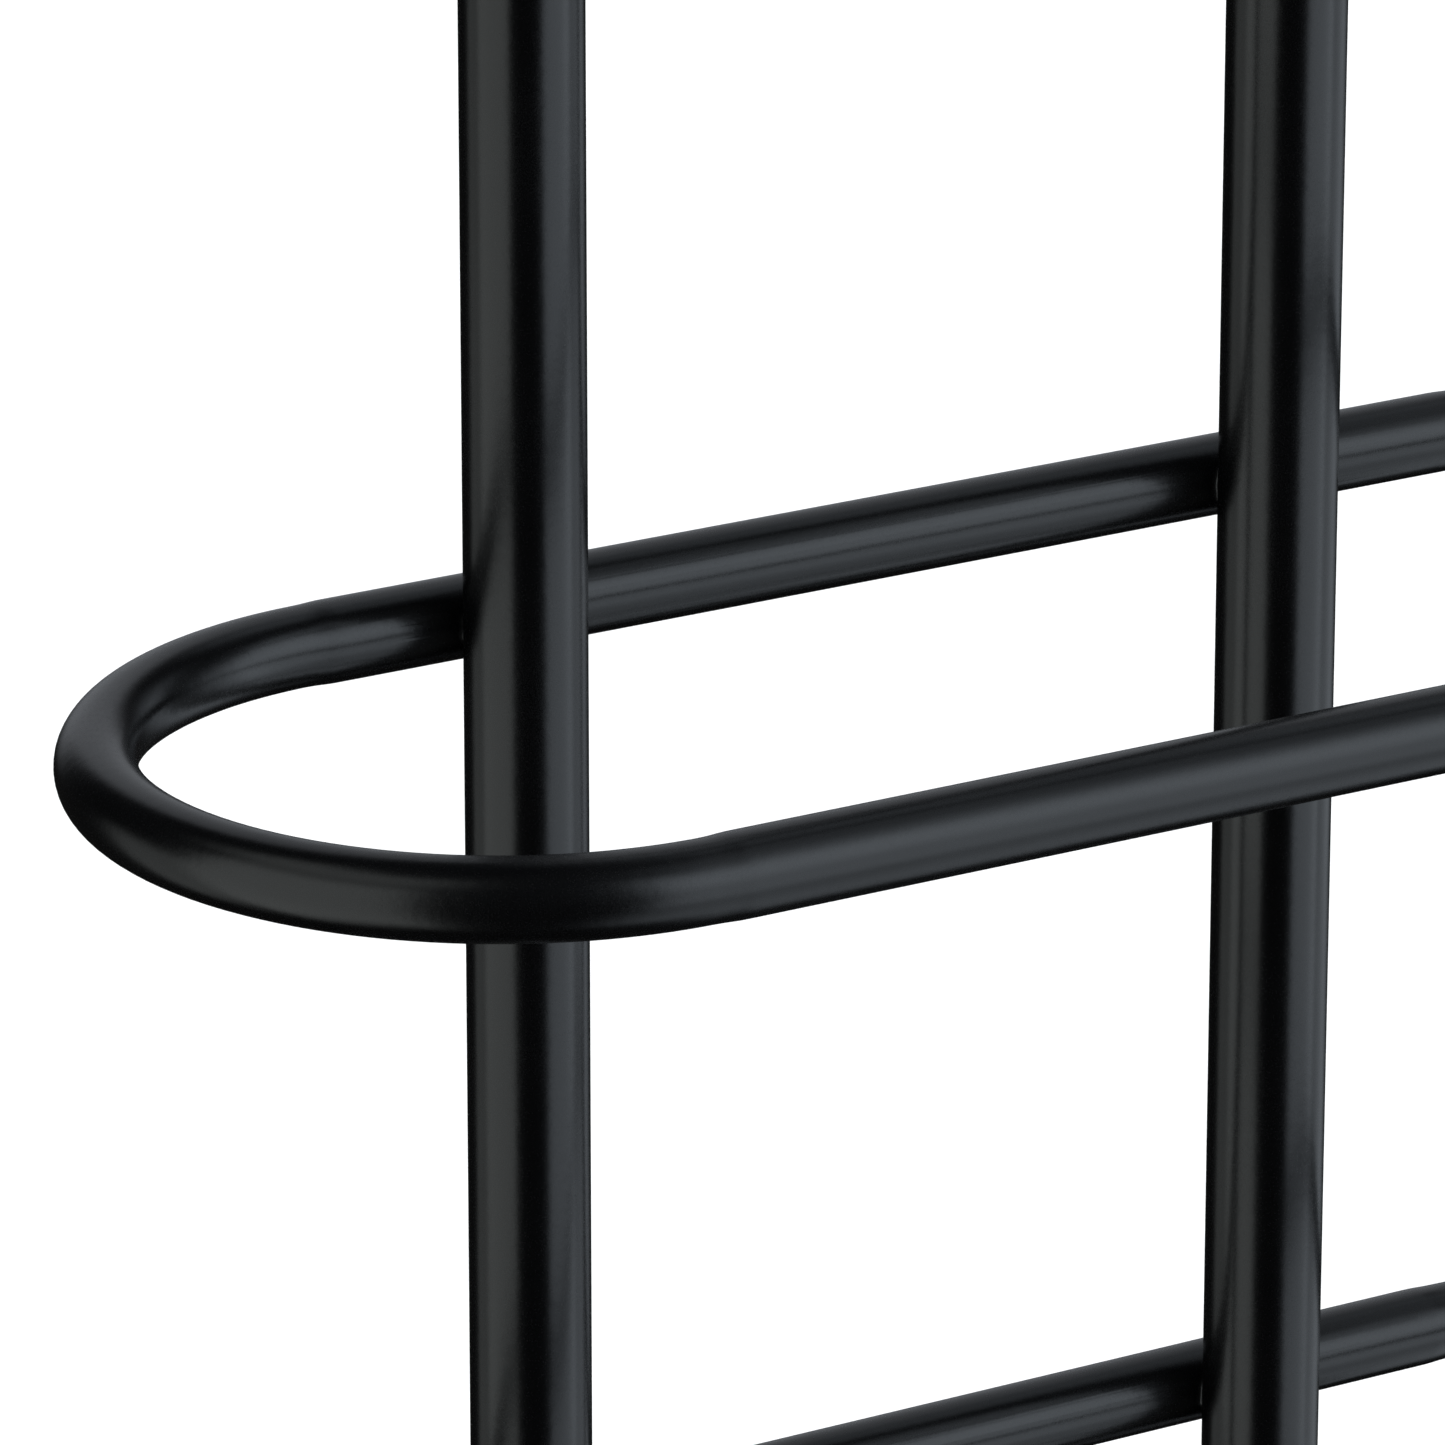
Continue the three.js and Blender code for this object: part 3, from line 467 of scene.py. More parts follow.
# A darker and a lighter tone, the roughness, and the size and depth of the grain.
MOULDED = {
    "rubber": ((0.012, 0.012, 0.012), (0.024, 0.024, 0.023), 0.72, 0.6 * MM, 0.02 * MM),
    "pressed_magnesia": ((0.66, 0.62, 0.54), (0.8, 0.77, 0.7), 0.8, 0.25 * MM, 0.03 * MM),
    "head_plastic": ((0.011, 0.0115, 0.012), (0.017, 0.0175, 0.018), 0.42, 0.35 * MM, 0.012 * MM),
    "knob_plastic": ((0.012, 0.0125, 0.013), (0.018, 0.0185, 0.019), 0.36, 0.3 * MM, 0.008 * MM),
    "gland_plastic": ((0.014, 0.014, 0.015), (0.022, 0.022, 0.023), 0.48, 0.5 * MM, 0.012 * MM),
    "inner_plastic": ((0.27, 0.29, 0.31), (0.36, 0.38, 0.4), 0.5, 0.4 * MM, 0.012 * MM),
    "button_plastic": ((0.31, 0.32, 0.33), (0.4, 0.41, 0.42), 0.3, 0.4 * MM, 0.005 * MM),
}
LOOKS = {name: moulded(name, *look) for name, look in MOULDED.items()}
LOOKS["ceramic"] = LOOKS.pop("pressed_magnesia")
LOOKS["powder_coat"] = powder_coat()
LOOKS["brass"] = machined("brass", (0.47, 0.33, 0.13), (0.66, 0.5, 0.24), 0.32, ROUND_UPRIGHT)
LOOKS["steel"] = machined("steel", *STEEL_TONES, 0.3, ROUND_UPRIGHT)
LOOKS["lens"] = amber_lens()
LOOKS["board"] = solder_resist()
DEEP_STEEL = machined("steel_about_y", *STEEL_TONES, 0.3, ROUND_DEEP)

# ---- posts

POST_WALL = 1.5 * MM
SIDE_NAMES = ("left", "right")
HOOPS = sorted(n for n in frame["nodes"] if n.startswith("towel_hoop_"))
POST_RADIUS = radius_of("left_post")
POST_BORE = POST_RADIUS - POST_WALL
POST_Y = centre_of("left_post").y
TUBE_RADIUS = (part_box(HOOPS[0])[1].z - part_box(HOOPS[0])[0].z) / 2
TUBE_WALL = 1.2 * MM
BACK_RUN_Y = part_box(HOOPS[0])[1].y - TUBE_RADIUS
FLOW_HOLE_RADIUS = 3.5 * MM
HOOP_HEIGHTS = {name: centre_of(name).z for name in HOOPS}
FACING = 0.95  # a facet that faces the axis, or away from it, by this much is part of a skin


def round_normals(made, x, y, outer, inner):
    """Exact round normals on the two skins of an upright tube, so that cut holes leave no marks."""
    mesh = made.data
    mesh.shade_smooth()
    between = (outer + inner) / 2
    normals = []
    for polygon in mesh.polygons:
        flat_normal = polygon.normal
        distance = math.hypot(polygon.center.x - x, polygon.center.y - y)
        radial = Vector((polygon.center.x - x, polygon.center.y - y, 0)).normalized()
        facing = flat_normal.dot(radial)
        for index in polygon.vertices:
            point = mesh.vertices[index].co
            away = Vector((point.x - x, point.y - y, 0)).normalized()
            if facing > FACING and distance > between:
                normals.append(away)
            elif facing < -FACING and distance < between:
                normals.append(-away)
            else:
                normals.append(flat_normal)
    mesh.normals_split_custom_set([tuple(n) for n in normals])


def build_post(side):
    node = f"{side}_post"
    low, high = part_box(node)
    x = (low.x + high.x) / 2
    rim = 0.4 * MM
    profile = [
        (POST_BORE, low.z), (POST_RADIUS, low.z, rim), (POST_RADIUS, high.z, rim),
        (POST_BORE, high.z),
    ]
    tube = turned(f"{side}_post_tube", profile, upright(x, POST_Y), FINE_SIDES)
    for height in HOOP_HEIGHTS.values():
        where = Matrix.Translation((x, POST_Y, height)) @ TO_WALL
        cut(tube, drill(FLOW_HOLE_RADIUS, 0, POST_RADIUS + 2 * MM, where))
    round_normals(tube, x, POST_Y, POST_RADIUS, POST_BORE)
    settle(tube, "powder_coat", node, weighted=False)


for side in SIDE_NAMES:
    build_post(side)

# ---- towel hoops

BEND_SQUEEZE = 0.035  # how much narrower the tube is across the bend
BEND_SINK = 0.028  # and in height
MARK_LENGTH = 9 * MM  # the stretch over which the section changes
MARK_DEPTH = 0.006  # the small waist that the bending die leaves at each end of the bend
BEND_STATIONS = 96
MARK_STATIONS = 14
SADDLE_RADIUS = POST_RADIUS - 0.15 * MM  # the hollow in a hoop's back run where it sits on a post


def smooth(value):
    held = min(1.0, max(0.0, value))
    return held * held * (3 - 2 * held)


def section_at(distance):
    """Factors on the width and the height, given the distance into the bend (negative outside it)."""
    bend = smooth(0.5 + distance / MARK_LENGTH)
    waist = MARK_DEPTH * math.exp(-((distance / (0.35 * MARK_LENGTH)) ** 2))
    return 1 - BEND_SQUEEZE * bend - waist, 1 - BEND_SINK * bend - waist


def half_hoop(side, node):
    """Stations round one bend, from the back run to the front run. side is -1 or 1.

    A station has a centre, a sideways direction and factors on the tube's width and height.
    """
    low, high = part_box(node)
    bend_radius = (high.y - low.y) / 2 - TUBE_RADIUS
    bend_x = max(side * low.x, side * high.x) - TUBE_RADIUS - bend_radius
    z = (low.z + high.z) / 2
    marks = np.linspace(-MARK_LENGTH, 0, MARK_STATIONS)[:-1]
    runs = [(bend_x + d, 0.0, 0.0, d) for d in marks]
    for i in range(BEND_STATIONS + 1):
        angle = HALF_TURN * (1 - math.cos(HALF_TURN * i / BEND_STATIONS)) / 2
        into = bend_radius * min(angle, HALF_TURN - angle)
        x = bend_x + bend_radius * math.sin(angle)
        runs.append((x, bend_radius * (math.cos(angle) - 1), angle, into))
    runs += [(bend_x + d, -2 * bend_radius, HALF_TURN, d) for d in reversed(marks)]
    found = []
    for x, y, angle, into in runs:
        centre = Vector((side * x, BACK_RUN_Y + y, z))
        sideways = Vector((side * math.sin(angle), math.cos(angle), 0))
        found.append((centre, sideways, *section_at(into)))
    return found


def endless_bar(name, stations, radius):
    """A solid ring of tube section through stations."""
    angles = [FULL_TURN * i / SIDES for i in range(SIDES)]
    up = Vector((0, 0, 1))
    rings = []
    for centre, sideways, wide, tall in stations:
        spokes = [sideways * wide * math.cos(a) + up * tall * math.sin(a) for a in angles]
        rings.append([centre + spoke * radius for spoke in spokes])
    return loft(name, rings, wrap=True)


def build_hoops():
    """One hoop, saddled to the posts, and its copies at the other heights."""
    first = HOOPS[0]
    z = HOOP_HEIGHTS[first]
    stations = half_hoop(-1, first) + half_hoop(1, first)[::-1]
    shape = endless_bar("hoop_shape", stations, TUBE_RADIUS)
    cut(shape, endless_bar("bore_tool", stations, TUBE_RADIUS - TUBE_WALL))
    for side in SIDE_NAMES:
        where = upright(centre_of(f"{side}_post").x, POST_Y)
        cut(shape, drill(SADDLE_RADIUS, z - 2 * TUBE_RADIUS, z + 2 * TUBE_RADIUS, where))
    for node in HOOPS:
        hoop = shape.copy()
        hoop.name = f"{node}_tube"
        hoop.data = shape.data.copy()
        hoop.data.transform(Matrix.Translation((0, 0, HOOP_HEIGHTS[node] - z)))
        bpy.context.scene.collection.objects.link(hoop)
        settle(hoop, "powder_coat", node)
    bpy.data.objects.remove(shape)


build_hoops()

# ---- welds

WELD_RADIUS = 0.8 * MM
WELD_UNEVEN = 0.12  # how much a weld's radius swings, as a share of it
WELD_STEPS = 7  # facets across a weld
WELD_UNDER = 0.4 * MM  # how far a weld reaches into the tubes that it joins
WELD_SIDES = 120  # cross-sections round a weld
WELD_SHARP = 50  # as SHARP


def fillet_ring(centre, to_tube, to_post, ball, inside):
    """A cross-section of a weld: an arc of the ball between its two touching points, closed inside."""
    arc = [centre + to_tube.slerp(to_post, k / WELD_STEPS) * ball for k in range(WELD_STEPS + 1)]
    return [*arc, arc[-1] + to_post * WELD_UNDER, inside, arc[0] + to_tube * WELD_UNDER]


def uneven(angle, phase):
    """The radius of a weld at an angle round its seam."""
    wave = 0.6 * math.sin(5 * angle + phase) + 0.4 * math.sin(11 * angle + 2 * phase)
    return WELD_RADIUS * (1 + WELD_UNEVEN * wave)


def build_weld(name, post_x, z, rings):
    """A weld through its cross-sections, whose points are measured from the post's axis at z."""
    at = Vector((post_x, POST_Y, z))
    weld = loft(name, [[at + p for p in ring] for ring in rings], wrap=True)
    settle(weld, "powder_coat", sharp=WELD_SHARP)


def build_boss_weld(name, post_x, z, boss_radius, phase):
    """The fillet round a boss that stands on a post's back."""
    rings = []
    for i in range(WELD_SIDES):
        angle = FULL_TURN * i / WELD_SIDES
        ball = uneven(angle, phase)
        c, s = math.cos(angle), math.sin(angle)
        aside = (boss_radius + ball) * c
        out = math.sqrt((POST_RADIUS + ball) ** 2 - aside**2)
        under = (boss_radius - WELD_UNDER) * c
        depth = math.sqrt((POST_RADIUS - WELD_UNDER) ** 2 - under**2)
        inside = Vector((under, depth, (boss_radius - WELD_UNDER) * s))
        to_tube = Vector((-c, 0, -s))
        to_post = Vector((-aside, -out, 0)).normalized()
        ball_centre = Vector((aside, out, (boss_radius + ball) * s))
        rings.append(fillet_ring(ball_centre, to_tube, to_post, ball, inside))
    build_weld(name, post_x, z, rings)


def build_saddle_weld(name, post_x, z, phase):
    """The fillet round the saddle where a hoop's back run crosses behind a post.

    A ball that rolls round the saddle touches both tubes. Its centre runs along the seam that the
    two tubes would have if each were thicker by the ball's radius.
    """
    behind = BACK_RUN_Y - POST_Y  # from the post's axis to the back run's

    def seam(tube, post, angle):
        """The seam's point at an angle, seen from in front, for the radii of the two tubes."""
        half_height = math.sqrt(tube**2 - max(0.0, behind - post) ** 2)
        height = half_height * math.sin(angle)
        side_sign = 1 if math.cos(angle) >= 0 else -1
        depth = behind - math.sqrt(max(0.0, tube**2 - height**2))
        aside = math.sqrt(max(0.0, post**2 - depth**2))
        return Vector((side_sign * aside, depth, height))

    rings = []
    for i in range(WELD_SIDES):
        angle = FULL_TURN * i / WELD_SIDES
        ball = uneven(angle, phase)
        centre = seam(TUBE_RADIUS + ball, POST_RADIUS + ball, angle)
        inside = seam(TUBE_RADIUS - WELD_UNDER, POST_RADIUS - WELD_UNDER, angle)
        to_tube = Vector((0, behind - centre.y, -centre.z)).normalized()
        to_post = Vector((-centre.x, -centre.y, 0)).normalized()
        rings.append(fillet_ring(centre, to_tube, to_post, ball, inside))
    build_weld(name, post_x, z, rings)


for number, height in enumerate(HOOP_HEIGHTS.values(), start=1):
    for side in SIDE_NAMES:
        x = centre_of(f"{side}_post").x
        build_saddle_weld(f"{side}_saddle_weld_{number}", x, height, 1.7 * number + 9 * x)

# ---- the posts' ends

PLUG_RADIUS = POST_BORE - 0.3 * MM
CAP_WALL = 1.8 * MM
CAP_SPIGOT = 8 * MM
THREAD_PITCH = 1.8 * MM
THREAD_DEPTH = 0.55 * MM
THREAD_RADIUS = 10.4 * MM  # of the half inch thread in the bushes
THREAD_HOLE = 10.7 * MM
VENT_HOLE = 5.3 * MM
PLUG_HEXAGON = 24 * MM


def threaded(radius, bottom, top, depth=THREAD_DEPTH):
    """Profile points of a cut thread from bottom to top, as rings of crests and roots."""
    count = int((top - bottom) / THREAD_PITCH)
    pitch = (top - bottom) / count
    points = []
    for i in range(count):
        start = bottom + i * pitch
        points.append((radius - depth, start + 0.1 * pitch))
        points.append((radius, start + 0.45 * pitch))
        points.append((radius, start + 0.6 * pitch))
        points.append((radius - depth, start + 0.95 * pitch))
    return points


def pipe_thread(seat, top):
    """Profile of a plug's threaded stem, from a little under its seat up."""
    neck = THREAD_RADIUS - THREAD_DEPTH
    return [(0, seat - MM), (neck, seat - MM), *threaded(THREAD_RADIUS, seat, top), (0, top)]


def build_cap(side):
    node = f"{side}_top_cap"
    low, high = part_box(node)
    seat = low.z + CAP_SPIGOT
    profile = [
        (0, seat), (PLUG_RADIUS - CAP_WALL, seat), (PLUG_RADIUS - CAP_WALL, low.z),
        (PLUG_RADIUS, low.z, 0.5 * MM), (PLUG_RADIUS, seat), (POST_RADIUS, seat, 0.25 * MM),
        (POST_RADIUS, high.z, 1.1 * MM), (0, high.z),
    ]
    where = axis_of(node)
    cap = turned(f"{side}_cap", profile, where, FINE_SIDES)
    if side == "left":
        cut(cap, drill_through(VENT_HOLE, node, where))
    settle(cap, "powder_coat", node)


def build_air_vent():
    low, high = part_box("air_vent_body")
    where = axis_of("air_vent_body")
    stem_radius = 5 * MM
    neck = stem_radius - THREAD_DEPTH
    port = 1.2 * MM
    screw_hole = 2.7 * MM
    seat = high.z - 5 * MM
    screw_seat = low.z + 5 * MM
    body = chamfered_nut("vent_body", 14 * MM, seat, high.z, where, (False, True))
    stem = [(0, low.z), *threaded(stem_radius, low.z, seat - 1.2 * MM), (neck, seat)]
    stem += [(neck, seat + MM), (0, seat + MM)]
    join(body, turned("stem_tool", stem, where))
    cut(body, drill(screw_hole, screw_seat, high.z, where, 0.3 * MM))
    cut(body, drill(port, low.z - MM, screw_seat + MM, where))
    settle(body, "brass", "air_vent_body")

    low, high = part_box("air_vent_screw")
    stem_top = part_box("air_vent_body")[1].z
    key = high.z - stem_top - 0.3 * MM
    stem = [
        (0, low.z), (1.2 * MM, low.z), (2.4 * MM, low.z + 1.2 * MM), (2.4 * MM, stem_top, 0.3 * MM),
        (2.0 * MM, stem_top, 0.1 * MM), (2.0 * MM, stem_top + MM), (0, stem_top + MM),
    ]
    screw = turned("vent_screw", stem, where)
    square = prism("key_tool", rectangle(5 * MM, 5 * MM, 0.35 * MM), high.z - key, high.z, where, 0.35 * MM)
    join(screw, square)
    settle(screw, "brass", "air_vent_screw", body="vent_screw")


def build_bush(side):
    node = f"{side}_bottom_bush"
    low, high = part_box(node)
    flange = low.z + 2 * MM
    profile = [
        (THREAD_HOLE, low.z, 0.3 * MM), (POST_RADIUS, low.z, 0.6 * MM),
        (POST_RADIUS, flange, 0.25 * MM), (PLUG_RADIUS, flange), (PLUG_RADIUS, high.z, 0.5 * MM),
        (THREAD_HOLE, high.z, 0.3 * MM),
    ]
    bush = turned(f"{side}_bush", profile, axis_of(node), FINE_SIDES)
    settle(bush, "powder_coat", node)


def build_seal(node, name, bore=THREAD_HOLE, edge=0.35 * MM, sides=SIDES):
    low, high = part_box(node)
    outer = radius_of(node)
    profile = [(bore, low.z, edge), (outer, low.z, edge), (outer, high.z, edge), (bore, high.z, edge)]
    settle(turned(name, profile, axis_of(node), sides), "rubber", node)


def build_drain_plug():
    low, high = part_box("drain_plug")
    where = axis_of("drain_plug")
    seat = low.z + 6 * MM
    plug = chamfered_nut("drain_plug_body", PLUG_HEXAGON, low.z, seat, where)
    join(plug, turned("thread_tool", pipe_thread(seat, high.z), where))
    recess = prism("key_tool", hexagon(10 * MM, 0.3 * MM), low.z - MM, low.z + 3.5 * MM, where)
    cut(plug, recess)
    settle(plug, "powder_coat", "drain_plug")


for side in SIDE_NAMES:
    build_cap(side)
    build_bush(side)
build_air_vent()
build_drain_plug()
build_seal("drain_plug_seal", "drain_seal")
build_seal("element_seal", "heater_seal")

# ---- wall brackets

BOSS_SIDES = 96
STUD_HOLE = 5.3 * MM
STUD_RADIUS = 5 * MM
STUD_LENGTH = 10 * MM
BASE_THICKNESS = 5 * MM
WALL_HOLE = 2.8 * MM
GRUB_HOLE = 2.8 * MM
GRUB_RADIUS = 2.5 * MM


def build_boss(name):
    """A tube stub that is coped to the post and drilled for the standoff's stud."""
    node = f"{name}_post_boss"
    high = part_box(node)[1]
    middle = centre_of(node)
    outer = radius_of(node)
    chamfer = 0.6 * MM
    inner_chamfer = 0.3 * MM
    post_skin = POST_RADIUS + 0.05 * MM

    def ring(reach, y=None):
        """A ring round the boss's axis at y, or where it meets the post."""
        found = []
        for i in range(BOSS_SIDES):
            angle = FULL_TURN * i / BOSS_SIDES
            dx, dz = reach * math.cos(angle), reach * math.sin(angle)
            depth = POST_Y + math.sqrt(post_skin**2 - dx * dx) if y is None else y
            found.append(Vector((middle.x + dx, depth, middle.z + dz)))
        return found

    rings = [ring(outer), ring(outer, high.y - chamfer), ring(outer - chamfer, high.y)]
    rings += [ring(STUD_HOLE + inner_chamfer, high.y), ring(STUD_HOLE, high.y - inner_chamfer)]
    rings.append(ring(STUD_HOLE))
    boss = loft(f"{name}_boss", rings, wrap=True)
    settle(boss, "powder_coat", node)
    build_boss_weld(f"{name}_boss_weld", middle.x, middle.z, outer, middle.z * 10 + middle.x * 7)


def build_standoff(name, where):
    node = f"{name}_standoff"
    low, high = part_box(node)
    radius = radius_of(node)
    neck = STUD_RADIUS - THREAD_DEPTH
    shoulder = low.y + STUD_LENGTH
    profile = [
        (0, low.y), (neck, low.y, 0.4 * MM),
        *threaded(STUD_RADIUS, low.y + 0.6 * MM, shoulder - 0.8 * MM), (neck, shoulder),
        (radius, shoulder, 0.6 * MM), (radius, high.y, 0.6 * MM), (0, high.y),
    ]
    standoff = turned(f"{name}_rod", profile, where)
    settle(standoff, "powder_coat", node)


def build_wall_socket(name, where):
    node = f"{name}_wall_socket"
    low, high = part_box(node)
    base_radius = radius_of(node)
    bore = 8.3 * MM
    tube = 12 * MM
    base = high.y - BASE_THICKNESS
    countersink = 2 * MM
    profile = [
        (WALL_HOLE, high.y), (WALL_HOLE, base + countersink), (WALL_HOLE + countersink, base),
        (bore, base), (bore, low.y, 0.4 * MM), (tube, low.y, 1.2 * MM), (tube, base, 2.5 * MM),
        (base_radius, base, 1.8 * MM), (base_radius, high.y, 0.3 * MM),
    ]
    socket = turned(f"{name}_socket", profile, where, FINE_SIDES)
    grub = centre_of(f"{name}_grub_screw")
    downward = Matrix.Translation((grub.x, grub.y, where.translation.z)) @ DOWNWARD
    cut(socket, drill(GRUB_HOLE, tube / 2, tube - 0.2 * MM, downward, 0.35 * MM))
    settle(socket, "powder_coat", node)


def build_grub_screw(name, z):
    node = f"{name}_grub_screw"
    low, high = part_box(node)
    middle = centre_of(node)
    where = Matrix.Translation((middle.x, middle.y, z)) @ DOWNWARD
    start, end = z - high.z, z - low.z
    bevel = 0.35 * MM
    profile = [
        (0, start), (1.6 * MM, start), (GRUB_RADIUS, start + 0.6 * MM), (GRUB_RADIUS, end - bevel),
        (GRUB_RADIUS - bevel, end), (0, end),
    ]
    screw = turned(f"{name}_set_screw", profile, where)
    cut(screw, prism("key_tool", hexagon(2.5 * MM, 0.1 * MM), end - 1.7 * MM, end + MM, where))
    settle(screw, "steel", node)


for level in ("upper", "lower"):
    for side in SIDE_NAMES:
        bracket = f"{side}_{level}"
        place = centre_of(f"{bracket}_standoff")
        into_wall = Matrix.Translation((place.x, 0, place.z)) @ TO_WALL
        build_boss(bracket)
        build_standoff(bracket, into_wall)
        build_wall_socket(bracket, into_wall)
        build_grub_screw(bracket, place.z)

# ---- heating element

HEAD_X = centre_of("control_base").x
HEAD_AXIS = axis_of("control_base")
LOCKNUT_HOLE = 10.3 * MM


def build_element_plug():
    low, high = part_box("element_plug")
    spigot_top = low.z + 9 * MM
    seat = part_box("element_seal")[0].z - 0.3 * MM
    plug = chamfered_nut("heater_plug", PLUG_HEXAGON, spigot_top + 0.3 * MM, seat, HEAD_AXIS)
    thread = pipe_thread(seat, high.z)
    spigot = [
        (0, low.z), (9 * MM, low.z), *threaded(10 * MM, low.z + 0.5 * MM, spigot_top - 0.5 * MM),
        (9 * MM, spigot_top + MM), (0, spigot_top + MM),
    ]
    join(plug, turned("thread_tool", thread, HEAD_AXIS), turned("spigot_tool", spigot, HEAD_AXIS))
    cut(plug, drill_through(5.3 * MM, "element_plug", HEAD_AXIS))
    cut(plug, drill_through(1.3 * MM, "element_plug", axis_of("temperature_sensor")))
    settle(plug, "brass", "element_plug")


def build_element():
    low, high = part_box("element_sheath")
    radius = radius_of("element_sheath")
    bore = radius - 0.8 * MM
    end = high.z - 2 * MM
    profile = [
        (bore, low.z), (radius, low.z), (radius, high.z, 3.2 * MM), (0, high.z), (0, end),
        (bore, end, 1.2 * MM),
    ]
    rings = [circle(p.x, p.y, HEAD_AXIS, SIDES) for p in rounded(profile, closed=True)]
    sheath = loft("heater_sheath", rings, wrap=True)
    settle(sheath, "steel", "element_sheath")

    low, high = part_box("element_core")
    radius = radius_of("element_core")
    core = [(0, low.z), (radius, low.z, 0.4 * MM), (radius, high.z, 0.8 * MM), (0, high.z)]
    settle(turned("heater_core", core, HEAD_AXIS), "ceramic", "element_core")

    low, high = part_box("temperature_sensor")
    radius = radius_of("temperature_sensor")
    profile = [(0, low.z), (radius, low.z, 0.2 * MM), (radius, high.z, 0.9 * MM), (0, high.z)]
    probe = turned("sensor_probe", profile, axis_of("temperature_sensor"), sides=32)
    settle(probe, "steel", "temperature_sensor")

    low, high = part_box("element_locknut")
    nut = chamfered_nut("heater_locknut", PLUG_HEXAGON, low.z, high.z, HEAD_AXIS)
    cut(nut, drill_through(LOCKNUT_HOLE, "element_locknut", HEAD_AXIS))
    settle(nut, "brass", "element_locknut")


build_element_plug()
build_element()

# ---- control head

HEAD_CORNER = 11 * MM
HEAD_WALL = 2.2 * MM
HEAD_EDGE = 3 * MM
HEAD_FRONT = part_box("control_housing")[0].y
HEAD_EDGE_STEPS = 8
FIXING_HOLE = 1.8 * MM
FIXING_BOSS = 3.6 * MM
KNOB_JOINT = next(j for j in frame["joints"] if j["name"] == "thermostat_turn")
KNOB_Z = KNOB_JOINT["pos_m"][2]
BUTTON_Z = centre_of("power_button").z
LENS_X = centre_of("indicator_lens").x
SCREW_PLACES = [centre_of(f"base_screw_{i}") for i in (1, 2)]


def facing_room(x, z):
    """Local Z points out of the control face and local Y points up. Local zero is on the face."""
    return Matrix.Translation((x, HEAD_FRONT, z)) @ TO_ROOM


def depths_of(node):
    """Where a CAD node starts and ends, measured out of the control face."""
    low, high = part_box(node)
    return HEAD_FRONT - high.y, HEAD_FRONT - low.y


KNOB_AXIS = facing_room(HEAD_X, KNOB_Z)
BUTTON_AXIS = facing_room(HEAD_X, BUTTON_Z)
LENS_AXIS = facing_room(LENS_X, BUTTON_Z)


def build_housing():
    low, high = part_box("control_housing")
    width, depth = high.x - low.x, high.y - low.y
    outline = rectangle(width, depth, HEAD_CORNER)
    outer = rounded(outline, closed=True)

    def ring(inset, height):
        return [
            HEAD_AXIS @ Vector((p.x * (1 - 2 * inset / width), p.y * (1 - 2 * inset / depth), height))
            for p in outer
        ]

    arc = [QUARTER_TURN * k / HEAD_EDGE_STEPS for k in range(HEAD_EDGE_STEPS + 1)]
    levels = [(0.4 * MM, low.z), (0, low.z + 0.4 * MM)]
    levels += [(HEAD_EDGE * (1 - math.cos(a)), high.z - HEAD_EDGE * (1 - math.sin(a))) for a in arc]
    housing = loft("head_housing", [ring(*level) for level in levels])
    inner = rectangle(width - 2 * HEAD_WALL, depth - 2 * HEAD_WALL, HEAD_CORNER - HEAD_WALL)
    cut(housing, prism("cavity_tool", inner, low.z - MM, high.z - HEAD_WALL, HEAD_AXIS))
    boss_top = low.z + 18 * MM
    boss = [(0, low.z), (FIXING_BOSS, low.z), (FIXING_BOSS, boss_top), (0, boss_top)]
    for screw in SCREW_PLACES:
        where = upright(screw.x, screw.y)
        join(housing, turned("boss_tool", boss, where, sides=32))
        cut(housing, drill(FIXING_HOLE, low.z - MM, low.z + 14 * MM, where))
    cut(
        housing,
        drill(LOCKNUT_HOLE, high.z - HEAD_WALL - MM, high.z + MM, HEAD_AXIS),
        drill(3.6 * MM, -HEAD_WALL - MM, MM, KNOB_AXIS),
        drill(5.8 * MM, -HEAD_WALL - MM, -0.3 * MM, BUTTON_AXIS, 0.3 * MM),
        drill(1.9 * MM, -HEAD_WALL - MM, -0.2 * MM, LENS_AXIS, 0.2 * MM),
    )
    settle(housing, "head_plastic", "control_housing")


def build_base():
    low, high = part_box("control_base")
    outline = rectangle(high.x - low.x, high.y - low.y, HEAD_CORNER)
    base = prism("head_base", outline, low.z, high.z, HEAD_AXIS, 0.5 * MM)
    holes = [drill_through(FIXING_HOLE, "control_base", upright(s.x, s.y)) for s in SCREW_PLACES]
    cut(base, *holes, drill_through(6.3 * MM, "control_base", HEAD_AXIS))
    settle(base, "head_plastic", "control_base")
    for number, screw in enumerate(SCREW_PLACES, start=1):
        build_base_screw(number, screw)


def build_base_screw(number, place):
    node = f"base_screw_{number}"
    low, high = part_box(node)
    where = upright(place.x, place.y)
    shank_start = low.z + 1.8 * MM
    thread_depth = 0.29 * THREAD_DEPTH
    profile = [
        (0, low.z), (2.9 * MM, low.z, 0.7 * MM), (2.9 * MM, shank_start, 0.2 * MM),
        (1.1 * MM, shank_start), *threaded(1.5 * MM, shank_start + 2 * MM, high.z, thread_depth),
        (0, high.z),
    ]
    screw = turned(f"base_fixing_{number}", profile, where, sides=40)
    cut(screw, prism("key_tool", hexagon(2 * MM, 0.1 * MM), low.z - MM, low.z + MM, where))
    settle(screw, "steel", node)


KNOB_RADIUS = 15 * MM
KNOB_HEIGHT = 14 * MM
FLUTES = 30
FLUTE_DEPTH = 0.045  # as a share of the radius
FLUTE_ROOT = 12 * MM  # the knob has flutes outside this radius only
FLUTE_STEPS = 8  # facets round a flute or a rib, and rings along the knob's side
POINTER_TURN = 0.75 * HALF_TURN  # where the pointer is at rest


